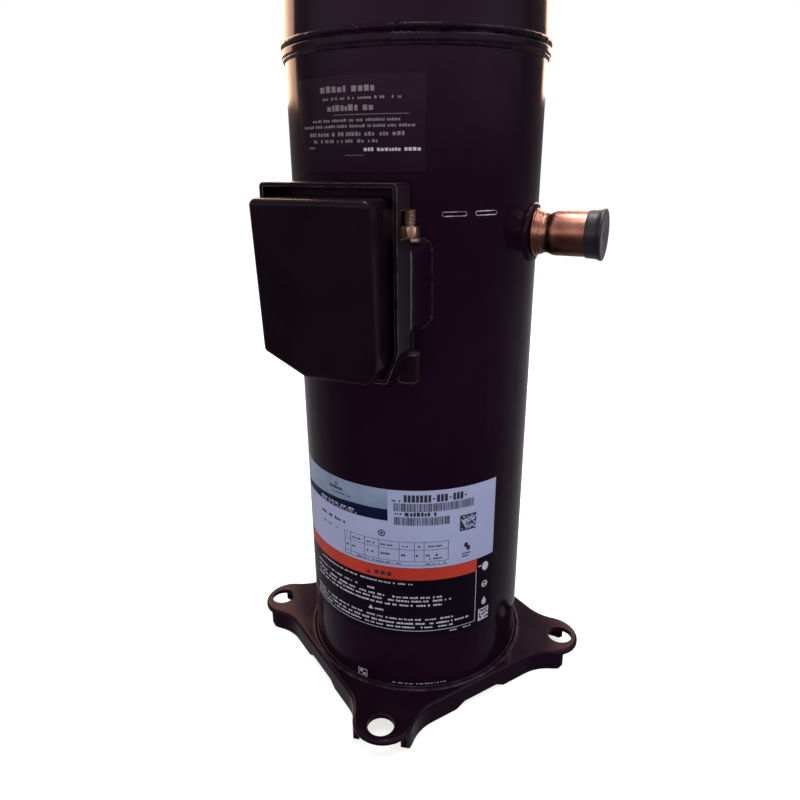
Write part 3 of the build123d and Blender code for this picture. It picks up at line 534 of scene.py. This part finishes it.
# Braze ripples on the flare, as (along the stub, radius).
ridges = [(95.0, 16.2), (96.4, 15.4), (97.4, 15.5), (98.5, 14.7), (99.5, 14.9), (100.7, 14.05)]
lathe(
    "suction_stub",
    [(stub_start, neck_in_r, 0), (neck_end - 0.7, neck_in_r, 2), (neck_end + 2.8, bore, 2),
     (stub_mouth, bore, 0.3), (stub_mouth, tube_r, 0.3), (neck_end + 3.6, tube_r, 2.5),
     (neck_end, neck_out_r - 0.05, 2.5), (neck_end - 2.6, neck_out_r, 1.5)]
    + [(along, radius, 0.5) for along, radius in reversed(ridges)]
    + [(flare_foot, 15.6, 0.1), (flare_foot, neck_out_r, 0.1), (stub_start, neck_out_r, 0)],
    suction_origin, suction_axis, copper, "shell", ("suction_fitting",), wobble=0.00012,
)
plug_open, plug_end = (d / MM for d in depth_along("suction_cap", suction_axis))


def plug_profile(opening, end, inner, mouth):
    """Closed section of a rubber plug: a sleeve with a flared rim and a dimpled end."""
    return [
        (opening, inner + 0.05, 0.2), (mouth + 0.3, inner + 0.05, 0.3), (mouth + 0.3, 0, 0),
        (end - 2.4, 0, 0), (end - 2.2, 1.1, 0.5), (end - 1.2, 1.7, 0.6), (end - 0.8, 9, 4),
        (end - 0.1, inner + 0.6, 0.8), (end - 0.4, inner + 2.1, 0.7), (end - 1.6, inner + 2.15, 0.7),
        (end - 4.2, inner + 1.1, 1.8), (opening + 1.2, inner + 0.8, 0.8), (opening, inner + 0.5, 0.3),
    ]


lathe(
    "suction_plug", plug_profile(plug_open, plug_end, tube_r + 0.05, stub_mouth), suction_origin,
    suction_axis, rubber, "suction_cap", ("suction_cap",), wobble=0.00015,
)

# ---------------------------------------------------------------- discharge stub and its plug
up = Vector((0, 0, 1))
discharge_bore = mounts["discharge_port"]["dims"]["r_mm"]
discharge_r = discharge_bore + 1.15
mouth = discharge_mouth / MM
riser_foot, riser_in_r, riser_out_r = 530.0, 10.0, 11.2
braze_z = 549.4
lathe(
    "discharge_stub",
    [(riser_foot, riser_in_r, 0), (braze_z + 1.6, riser_in_r, 2), (braze_z + 4.1, discharge_bore, 2),
     (mouth, discharge_bore, 0.3), (mouth, discharge_r, 0.3), (braze_z + 5.1, discharge_r, 2),
     (braze_z + 2.0, riser_out_r + 0.3, 2), (braze_z + 1.2, riser_out_r + 0.8, 0.4),
     (braze_z + 0.3, riser_out_r + 0.4, 0.4), (braze_z + 0.2, riser_out_r, 0.1),
     (riser_foot, riser_out_r, 0)],
    discharge_centre, up, copper, "shell", ("discharge_fitting",), wobble=0.0001,
)
cap_low, cap_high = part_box("discharge_cap")
lathe(
    "discharge_plug", plug_profile(cap_low.z / MM, cap_high.z / MM, discharge_r + 0.05, mouth),
    discharge_centre, up, rubber, "discharge_cap", ("discharge_cap",), wobble=0.00012,
)
bead(
    "discharge_braze", circle_path(discharge_centre, 11.7 * MM, braze_z * MM, count=60), 0.8, copper,
    "shell", ripple=0.08, pitch=4.0,
)
suction_side = Vector((-suction_axis.y, suction_axis.x, 0))


def round_stub(radius, along, count=90):
    """Circle round the suction stub."""
    return [
        suction_origin + suction_axis * along
        + (suction_side * cos(2 * pi * i / count) + up * sin(2 * pi * i / count)) * radius
        for i in range(count)
    ]


bead(
    "suction_braze", round_stub(15.9 * MM, (flare_foot + 0.5) * MM), 0.9, copper, "shell",
    ripple=0.06, pitch=4.0,
)

# ---------------------------------------------------------------- earth stud beside the terminal box
stud_low, stud_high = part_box("earth_stud")
stud_centre = ((stud_low + stud_high) / 2).to_2d().to_3d()
roof = fence_high.z / MM
stud_end = stud_high.z / MM
stud_foot, shank_r = roof - 8, 2.4
root_r, crest_r = 3.0, 3.5
thread_pitch = 0.8
thread = []
along = roof + 10.0
while along < stud_end - 0.6:
    thread += [(along, root_r, 0), (along + thread_pitch / 2, crest_r, 0.1)]
    along += thread_pitch
brass = materials["brass_hardware"]
lathe(
    "earth_stud_thread",
    [(stud_foot, 0, 0), (stud_foot, shank_r, 0.3), (roof + 1, shank_r, 0), (roof + 9.9, root_r, 0)]
    + thread + [(stud_end, 2.6, 0.3), (stud_end, 0, 0)],
    stud_centre, up, brass, "shell", ("earth_stud",), sides=32,
)


def hex_nut(name, centre, low, high, radius, bore_r, material, body):
    """A chamfered six-sided nut."""
    verts, faces = [], []
    levels = ((low, 0.93), (low + 0.5, 1.0), (high - 0.7, 1.0), (high, 0.9))
    sides = 48
    for z, shrink in levels:
        for i in range(sides):
            turn = 2 * pi * i / sides
            flat = cos(pi / 6) / cos((turn % (pi / 3)) - pi / 6)
            reach = radius * min(flat, shrink)
            verts.append(centre + Vector((reach * cos(turn), reach * sin(turn), z)) * MM)
    for z in (high, low):
        for i in range(sides):
            turn = 2 * pi * i / sides
            verts.append(centre + Vector((bore_r * cos(turn), bore_r * sin(turn), z)) * MM)
    rings = [list(range(k * sides, (k + 1) * sides)) for k in range(6)]
    for here, there in zip(rings, rings[1:] + rings[:1]):
        for i in range(sides):
            after = (i + 1) % sides
            faces.append((here[i], here[after], there[after], there[i]))
    return piece(name, verts, faces, material, body)


washer_low, washer_top, nut_top = roof + 0.1, roof + 2.1, roof + 9.5
hole_r, nut_r, washer_r = 2.9, 5.9, 6.2
hex_nut(
    "earth_nut", stud_centre, washer_top + 0.1, nut_top, nut_r, hole_r, brass, "shell",
)
lathe(
    "earth_washer",
    [(washer_low, hole_r, 0.1), (washer_low, washer_r, 0.4), (washer_top, washer_r, 0.5),
     (washer_top, hole_r, 0.1)],
    stud_centre, up, brass, "shell", sides=48,
)


# ---------------------------------------------------------------- stakes pressed round the shell
def on_cylinder(angle, side, z, radius):
    """Point beside an angle on a cylinder, at an arc distance to one side."""
    return polar(angle + degrees(side / radius), radius, z)


stake_z = 377.2 * MM
stake_half = 8.25 * MM
stake_r = 1.3 * MM


def stake_rim(angle):
    """The raised lip round one stake."""
    points = []
    for end, first in ((1, -90), (-1, 90)):
        for step in range(9):
            turn = radians(first + 22.5 * step)
            points.append((end * (stake_half - stake_r) + stake_r * cos(turn), stake_r * sin(turn)))
    return [on_cylinder(angle, side, stake_z + rise, shell_r + 0.05 * MM) for side, rise in points]


# The stake lips are pale bare steel, partly real and partly a painted highlight that draws their bright outlines.
pale_stake_lip_highlight = surface(
    "stake_lip_highlight_steel", (0.10, 0.09, 0.10), (0.55, 0.52, 0.55), rough=(0.2, 0.35), metallic=0.6,
    patch_scale=120.0, fine=(900.0, 0.00001),
)
stake_angles = [quarter + offset for quarter in (0, 90, 180, 270) for offset in (-17.9, -3.6)]
for number, angle in enumerate(stake_angles):
    bead(
        f"stake_lip_{number + 1}", stake_rim(angle), 0.30, pale_stake_lip_highlight, "shell", ripple=0.0,
        pitch=6.0, sides=8,
    )


# ---------------------------------------------------------------- label printing
print_step = 0.8


class Print:
    """Flat ink on a label that is wrapped round the shell, gathered into one mesh."""

    def __init__(self, radius, lift):
        self.verts, self.faces = [], []
        self.inner, self.outer = radius - 0.01 * MM, radius + lift * MM

    def strip(self, columns):
        """A closed strip over columns of (angle, low z, high z) in degrees and millimetres."""
        first = len(self.verts)
        for angle, low, high in columns:
            for radius in (self.inner, self.outer):
                for z in (low, high):
                    self.verts.append(polar(angle, radius, z * MM))
        last = first + 4 * (len(columns) - 1)
        for a in range(first, last, 4):
            b = a + 4
            self.faces += [(a + 2, b + 2, b + 3, a + 3), (a, a + 1, b + 1, b)]
            self.faces += [(a, b, b + 2, a + 2), (a + 1, a + 3, b + 3, b + 1)]
        self.faces += [(first, first + 2, first + 3, first + 1)]
        self.faces += [(last, last + 1, last + 3, last + 2)]

    def bar(self, left, right, low, high, slope=0.0):
        """A rectangle, with its right end raised by slope."""
        count = max(1, ceil((right - left) / print_step))
        self.strip([
            (left + (right - left) * i / count, low + slope * i / count, high + slope * i / count)
            for i in range(count + 1)
        ])

    def frame(self, left, right, low, high, line=0.45):
        """The outline of a rectangle."""
        wide = degrees(line * MM / shell_r)
        self.bar(left, right, low, low + line)
        self.bar(left, right, high - line, high)
        self.bar(left, left + wide, low + line, high - line)
        self.bar(right - wide, right, low + line, high - line)

    def round(self, angle, z, radius, squeeze=1.0, steps=20):
        """A filled disc, or an oval."""
        reach = degrees(radius * MM / shell_r) * squeeze
        columns = []
        for i in range(steps + 1):
            t = -cos(pi * i / steps)
            rise = radius * max(0.02, sqrt(max(0.0, 1 - t * t)))
            columns.append((angle + reach * t, z - rise, z + rise))
        self.strip(columns)

    def ring(self, angle, z, radius, line=0.6, steps=24):
        """A circle's outline."""
        first = len(self.verts)
        for i in range(steps):
            turn = 2 * pi * i / steps
            for cylinder in (self.inner, self.outer):
                for reach in (radius - line, radius):
                    side = degrees(reach * cos(turn) * MM / shell_r)
                    self.verts.append(polar(angle + side, cylinder, (z + reach * sin(turn)) * MM))
        for i in range(steps):
            a, b = first + 4 * i, first + 4 * ((i + 1) % steps)
            self.faces += [(a + 2, a + 3, b + 3, b + 2), (a, b, b + 1, a + 1)]
            self.faces += [(a + 1, b + 1, b + 3, a + 3), (a, a + 2, b + 2, b)]

    def triangle(self, angle, z, size):
        """A triangle, point up."""
        half = degrees(size / 2 * MM / shell_r)
        self.strip([
            (angle - half, z, z + 0.1), (angle, z, z + size * 0.87), (angle + half, z, z + 0.1)])

    def line_of_marks(self, left, right, z, height, dense=0.8, slope=0.0):
        """A row of plain marks with the rhythm of small print."""
        angle = left
        while angle < right:
            word = random.randint(2, 7)
            for _ in range(word):
                width = degrees(random.uniform(0.5, 1.0) * height * MM / shell_r)
                if angle + width > right:
                    return
                low = z + slope * (angle - left) / (right - left)
                drop = random.uniform(0.0, 0.3) * height
                if random.random() < dense:
                    self.bar(angle, angle + width, low, low + height - drop)
                angle += width * 1.35
            angle += degrees(random.uniform(0.4, 1.0) * height * MM / shell_r)

    def bars_of_code(self, left, right, low, high):
        """Upright bars of uneven width."""
        angle = left
        while angle < right:
            width = degrees(random.choice((0.35, 0.5, 0.8)) * MM / shell_r)
            self.bar(angle, min(right, angle + width), low, high)
            angle += width + degrees(random.choice((0.35, 0.45, 0.7)) * MM / shell_r)

    def squares(self, left, right, low, high, count=12):
        """A square patch of small random blocks."""
        wide, tall = (right - left) / count, (high - low) / count
        for row in range(count):
            run = None
            for column in range(count + 1):
                edge = row in (0, count - 1) or column == 0
                full = column < count and (edge or random.random() < 0.5)
                if full and run is None:
                    run = column
                elif not full and run is not None:
                    self.bar(left + run * wide, left + column * wide, low + row * tall,
                             low + (row + 1) * tall)
                    run = None

    def make(self, name, material):
        """Turn the gathered ink into a piece."""
        made = piece(name, self.verts, self.faces, material, "shell")
        made.data.polygons.foreach_set("use_smooth", [False] * len(made.data.polygons))
        return made


# Places on the labels are degrees round the shell and millimetres up it.
label_low, label_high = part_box("nameplate_label")
label_left, label_right = -106.0, 8.3
bottom, top = label_low.z / MM, label_high.z / MM
panel_lift, ink_lift, over_lift = 0.03, 0.06, 0.09
band_low, band_top, band_right = 103.8, 115.2, -2.0
header_low, header_right = 155.0, -46.6
navy_steps, navy_turn, navy_low, navy_high, navy_rise = 80, 59.1, 155.2, 161.0, 3.8

header = Print(label_r, panel_lift)
header.bar(label_left + 0.2, header_right, header_low, top - 0.3)
header.make("nameplate_header", ink["slate"])
navy = Print(label_r, ink_lift)
navy.strip([
    (label_left + 0.25 + navy_turn * i / navy_steps, navy_low, navy_high + navy_rise * min(1.0, i / 56))
    for i in range(navy_steps + 1)
])
navy.make("nameplate_navy_band", ink["navy"])
panel = Print(label_r, panel_lift)
panel.bar(label_left + 0.2, label_right + 0.04, bottom - 0.06, band_top - 0.2)
panel.make("nameplate_black_panel", ink["panel"])
band = Print(label_r, ink_lift)
band.bar(label_left + 0.25, band_right, band_low, band_top - 0.4)
band.make("nameplate_orange_band", ink["orange"])

dark = Print(label_r, over_lift)
title_left, title_low, title_high = -39.0, 171.9, 177.9
block_gap, group_gap = 0.45, 2.2
dash_low, dash_high = 174.2, 175.2
for blocks in (7, 3, 3):
    for _ in range(blocks):
        wide = random.uniform(1.3, 1.7)
        dark.bar(title_left, title_left + wide, title_low, title_high)
        title_left += wide + block_gap
    dark.bar(title_left + 0.3, title_left + 1.5, dash_low, dash_high)
    title_left += group_gap
dark.line_of_marks(-44.6, -40.0, 172.0, 1.6)
dark.bars_of_code(-43.7, -5.0, 164.0, 170.8)
dark.line_of_marks(-44.4, -39.6, 161.2, 1.6)
dark.line_of_marks(-38.6, -22.0, 160.2, 3.4, dense=1.0)
dark.bars_of_code(-43.6, -17.3, 152.4, 159.2)
dark.squares(-12.1, -3.4, 144.0, 157.4)
seal_angle, seal_z = -49.8, 143.9
dark.ring(seal_angle, seal_z, 2.9, 0.9)
dark.round(seal_angle, seal_z, 1.1)
dark.line_of_marks(-88.0, -70.0, 143.6, 2.6)
dark.line_of_marks(-88.0, -74.0, 136.0, 1.3)

# The table of ratings: its rules, its columns and the marks in its cells.
rule = 0.28
column_rule = 0.22
table_top, head_low, body_low, table_low = 137.6, 131.0, 120.6, 117.2
table_left, table_right = -70.6, -17.6
full_columns = (table_left, -67.0)
short_columns = (-58.9, -51.5, -41.4, -34.2, -29.6, -17.9)
cells = ((-69.5, 1.6), (-66.0, 5), (-57.6, 4.5), (-50.4, 7), (-40.3, 4), (-33.4, 2.6), (-28.6, 8))
for z in (table_top, head_low, body_low, table_low):
    dark.bar(table_left, table_right, z, z + rule)
for angle in full_columns:
    dark.bar(angle, angle + column_rule, table_low + 0.2, table_top)
for angle in short_columns:
    dark.bar(angle, angle + column_rule, body_low, table_top)
for angle, wide in cells:
    dark.line_of_marks(angle, angle + wide, head_low + 2.4, 1.5)
    dark.line_of_marks(angle, angle + wide * 0.8, body_low + 4.8, 1.9)
dark.line_of_marks(-27.0, -20.0, 122.6, 1.4)
dark.line_of_marks(-64.0, -40.0, 118.1, 1.2)
dark.line_of_marks(-28.5, -19.0, 118.1, 1.2)
for angle, z in ((-8.6, 130.8), (-7.3, 127.9)):
    dark.round(angle, z, 2.2, 0.75)
dark.line_of_marks(-10.6, -5.6, 122.8, 1.5)
dark.line_of_marks(-10.6, -6.2, 120.4, 1.5)

# Plain blocks on the orange band, after a triangle.
sign_low, sign_high, sign_wide = 106.6, 110.0, 2.2
dark.triangle(-57.0, 105.9, 4.2)
for angle in (-53.8, -50.6, -47.4):
    dark.bar(angle, angle + sign_wide, sign_low, sign_high)
dark.make("nameplate_dark_ink", ink["black"])

pale = Print(label_r, over_lift)
warning_rows = (
    (-91, -34, 99.6, 1.5), (-58, -50.5, 91.6, 2.0),
    (-96, -63, 92.2, 1.4), (-96, -20.5, 87.0, 1.8), (-96, -15.2, 83.6, 1.8), (-96, -19.0, 79.6, 1.8),
    (-54, -48.8, 72.8, 2.0), (-98, -14.5, 66.4, 1.6), (-98, -5.2, 62.4, 1.8), (-98, -12.0, 58.9, 1.6),
    (-16.1, -12.0, 53.2, 1.2), (-9.5, -2.6, 53.2, 1.2),
)
for left, right, z, height in warning_rows:
    pale.line_of_marks(left, right, z, height, dense=0.85)
pale.triangle(-56.3, 72.4, 4.2)
outline_right, outline_low = -2.0, 56.0
pale.bar(label_left + 1, outline_right, outline_low, outline_low + 0.45)
pale.bar(outline_right - 0.28, outline_right, outline_low, band_low)
column_middle = 3.4
pale.round(column_middle, 105.4, 4.0, 0.8)
pale.line_of_marks(-1.0, 1.2, 106.5, 1.4)
pale.ring(column_middle, 88.6, 3.1, 0.9)
pale.bar(column_middle - 1.2, column_middle + 1.4, 87.6, 89.0)
pale.round(column_middle, 71.6, 2.9, 0.8)
pale.triangle(column_middle, 72.4, 4.6)
pale.squares(0.0, 6.8, 54.0, 65.4, count=9)
pale.line_of_marks(-88.0, -64.0, 158.0, 1.8)
pale.line_of_marks(-88.0, -62.0, 156.2, 1.1)
pale.make("nameplate_pale_ink", ink["white"])
band_ink = Print(label_r, over_lift)
band_ink.line_of_marks(-80.0, -69.0, 171.4, 2.2)
band_ink.ring(-75.0, 175.8, 1.5, 0.6)
band_ink.line_of_marks(-79.0, -66.0, 168.2, 1.2)
band_ink.make("nameplate_header_ink", ink["navy"])

# The upper label's rows: left, right, height up the shell, height of a mark, share of marks printed.
upper_rows = (
    (-74.0, -45.6, 449.2, 3.8, 1.0), (-72.7, -38.2, 444.9, 1.6, 0.7), (-70.5, -48.5, 438.6, 3.6, 1.0),
    (-79.4, -39.3, 432.4, 1.7, 0.95), (-85.6, -33.6, 429.0, 1.7, 0.95), (-81.8, -36.3, 424.1, 2.4, 0.9),
    (-79.4, -46.3, 420.2, 2.0, 0.8), (-83.0, -78.5, 416.8, 1.2, 0.9),
)
upper_rules = ((-67.3, -35.9, 436.2), (-62.4, -54.0, 412.7))
grey = Print(label_r, panel_lift)
for row in upper_rows:
    grey.line_of_marks(*row)
for left, right, z in upper_rules:
    grey.bar(left, right, z, z + 0.3)
grey.make("upper_label_grey_ink", ink["grey"])
bright = Print(label_r, panel_lift)
bright.line_of_marks(-54.0, -31.5, 415.2, 2.2, 1.0)
bright.make("upper_label_white_ink", ink["white"])

# ---------------------------------------------------------------- stamped marks on the shell, and painted glints along the foot weld
stamp = Print(shell_r, 0.06)
stamp_left, stamp_right, stamp_low, stamp_high = -65.0, -59.6, 0.9, 8.2
stamp_wide, stamp_tall = stamp_right - stamp_left, stamp_high - stamp_low
# Blocks in the stamp, as shares of its width and height: left, right, low, high.
stamp_blocks = ((0.2, 0.5, 0.5, 0.8), (0.5, 0.8, 0.2, 0.5))
stamp.frame(stamp_left, stamp_right, stamp_low, stamp_high, 0.7)
for left, right, low, high in stamp_blocks:
    stamp.bar(
        stamp_left + stamp_wide * left, stamp_left + stamp_wide * right,
        stamp_low + stamp_tall * low, stamp_low + stamp_tall * high,
    )
stamp.make("foot_stamp_square", ink["white"])
marks_and_weld_glints = Print(shell_r, 0.05)
# This row of pale marks just above the foot weld is a painted highlight: glints on the weld's crest.
marks_and_weld_glints.line_of_marks(-45.5, -17.0, 2.4, 1.1, dense=0.75)
marks_and_weld_glints.line_of_marks(-77.0, -73.5, 387.0, 1.0)
marks_and_weld_glints.line_of_marks(-79.0, -70.0, 382.4, 1.3)
marks_and_weld_glints.make("shell_small_marks_and_weld_glints", ink["white"])

# ---------------------------------------------------------------- floor, light and camera
floor_material = surface(
    "studio_floor", (0.31, 0.31, 0.31), (0.33, 0.33, 0.33), rough=(0.7, 0.8), fine=(60.0, 0.00002),
)
floor_shader = floor_material.node_tree.nodes["Principled BSDF"]
floor_shader.inputs["Emission Color"].default_value = (1.0, 0.99, 0.98, 1)
floor_shader.inputs["Emission Strength"].default_value = 0.72
floor_reach = 30.0
floor_corners = [(floor_reach * x, floor_reach * y, 0) for x, y in ((-1, -1), (1, -1), (1, 1), (-1, 1))]
floor_mesh = bpy.data.meshes.new("floor")
floor_mesh.from_pydata(floor_corners, [], [(0, 1, 2, 3)])
floor_mesh.materials.append(floor_material)
floor = bpy.data.objects.new("floor", floor_mesh)
floor.location.z = floor_z - 0.0002
bpy.context.scene.collection.objects.link(floor)
floor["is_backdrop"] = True
# The paint reflects the room's tone below the horizon, and not the white floor.
floor.visible_glossy = False

world = bpy.data.worlds.new("studio")
bpy.context.scene.world = world
world.use_nodes = True
sky = world.node_tree
sky.nodes.clear()
backdrop = add_node(sky, "ShaderNodeBackground", {"Color": (1.0, 1.0, 1.0, 1), "Strength": 1.02})
direction = add_node(sky, "ShaderNodeTexCoord").outputs["Generated"]
height = add_node(sky, "ShaderNodeSeparateXYZ", {"Vector": direction}).outputs["Z"]


def tone_by_height(stops):
    """Colour of the room by the height of a direction, from stops of (height, colour)."""
    share = add_node(sky, "ShaderNodeMapRange", {"Value": height, "From Min": -1.0, "From Max": 1.0})
    ramp = add_node(sky, "ShaderNodeValToRGB", {"Fac": share.outputs[0]})
    elements = ramp.color_ramp.elements
    for stop, _ in stops[1:-1]:
        elements.new((stop + 1.0) / 2.0)
    for element, (_, colour) in zip(elements, stops):
        element.color = (*colour, 1)
    return ramp.outputs[0]


front = add_node(
    sky, "ShaderNodeVectorMath",
    {0: direction, 1: (sin(view_turn), -cos(view_turn), 0.0)}, operation="DOT_PRODUCT",
).outputs["Value"]
ahead = add_node(sky, "ShaderNodeMapRange", {"Value": front, "From Min": -0.25, "From Max": 0.5}).outputs[0]
zenith = (0.95, 0.92, 0.90)
behind_tone = tone_by_height((
    (-1.0, (0.30, 0.30, 0.30)), (-0.2, (0.42, 0.42, 0.42)), (0.0, (0.20, 0.17, 0.16)),
    (0.35, (0.35, 0.33, 0.32)), (1.0, zenith),
))
front_tone = tone_by_height((
    (-1.0, (0.10, 0.10, 0.10)), (-0.2, (0.16, 0.15, 0.16)), (-0.02, (0.6, 0.48, 0.56)),
    (0.09, (2.1, 1.8, 1.9)), (0.19, (3.8, 3.9, 3.7)), (0.45, (1.2, 1.2, 1.2)), (1.0, zenith),
))
room_tone = mix_colours(sky, ahead, behind_tone, front_tone)
room = add_node(sky, "ShaderNodeBackground", {"Color": room_tone, "Strength": 1.0})
ray = add_node(sky, "ShaderNodeLightPath").outputs["Is Camera Ray"]
blend = add_node(sky, "ShaderNodeMixShader", {0: ray, 1: room.outputs[0], 2: backdrop.outputs[0]})
add_node(sky, "ShaderNodeOutputWorld", {"Surface": blend.outputs[0]})

camera_distance = 0.526
camera_height = 0.4115
look_down = 0.351
look_aside = -0.025
camera_roll = -0.008
camera_lens = 29.843


def area_light(name, azimuth, distance, z, width, tall, power, colour, target_z):
    """A soft light that faces the object; azimuth 0 is over the camera, positive to its right."""
    data = bpy.data.lights.new(name, "AREA")
    data.shape = "RECTANGLE"
    data.size, data.size_y = width, tall
    data.energy = power
    data.color = colour
    light = bpy.data.objects.new(name, data)
    bpy.context.scene.collection.objects.link(light)
    turn = view_turn + radians(azimuth)
    light.location = (distance * sin(turn), -distance * cos(turn), z)
    aim = Vector((0, 0, target_z)) - light.location
    light.rotation_euler = aim.to_track_quat("-Z", "Y").to_euler()
    light.visible_camera = False


# Name, azimuth, distance, height, panel's width and height, watts, colour and height aimed at.
for lamp in (
    ("overhead", 165, 0.45, 2.1, 0.9, 0.8, 46, (1.0, 0.97, 0.94), 0.3),
    ("left_wall", -142, 1.6, 1.04, 1.25, 1.0, 27, (1.0, 0.58, 0.38), 0.45),
    ("right_wall", 150, 1.6, 1.05, 0.6, 1.0, 14, (1.0, 0.60, 0.44), 0.45),
    ("back_panel", 180, 1.7, 0.80, 1.0, 0.3, 7, (1.0, 0.97, 0.95), 0.4),
    ("front_top", 0, 0.5, 2.0, 0.45, 0.3, 14, (1.0, 0.98, 0.97), 0.3),
    ("right_top", 78, 1.1, 1.6, 0.8, 0.5, 8, (0.86, 0.9, 1.0), 0.1),
):
    area_light(*lamp)

forward = Vector((sin(look_aside) * cos(look_down), cos(look_aside) * cos(look_down), -sin(look_down)))
right = Vector((cos(look_aside), -sin(look_aside), 0))
above = right.cross(forward)
tilted_right = right * cos(camera_roll) + above * sin(camera_roll)
tilted_up = above * cos(camera_roll) - right * sin(camera_roll)
turn = Matrix.Rotation(view_turn, 3, "Z")
axes = Matrix([turn @ tilted_right, turn @ tilted_up, turn @ -forward]).transposed()
camera_data = bpy.data.cameras.new("camera")
camera_data.sensor_width = 36.0
camera_data.lens = camera_lens
camera = bpy.data.objects.new("camera", camera_data)
bpy.context.scene.collection.objects.link(camera)
camera_place = turn @ Vector((0, -camera_distance, camera_height))
camera.matrix_world = Matrix.Translation(camera_place) @ axes.to_4x4()
bpy.context.scene.camera = camera
bpy.context.scene.view_settings.view_transform = "Standard"

low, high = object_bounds()
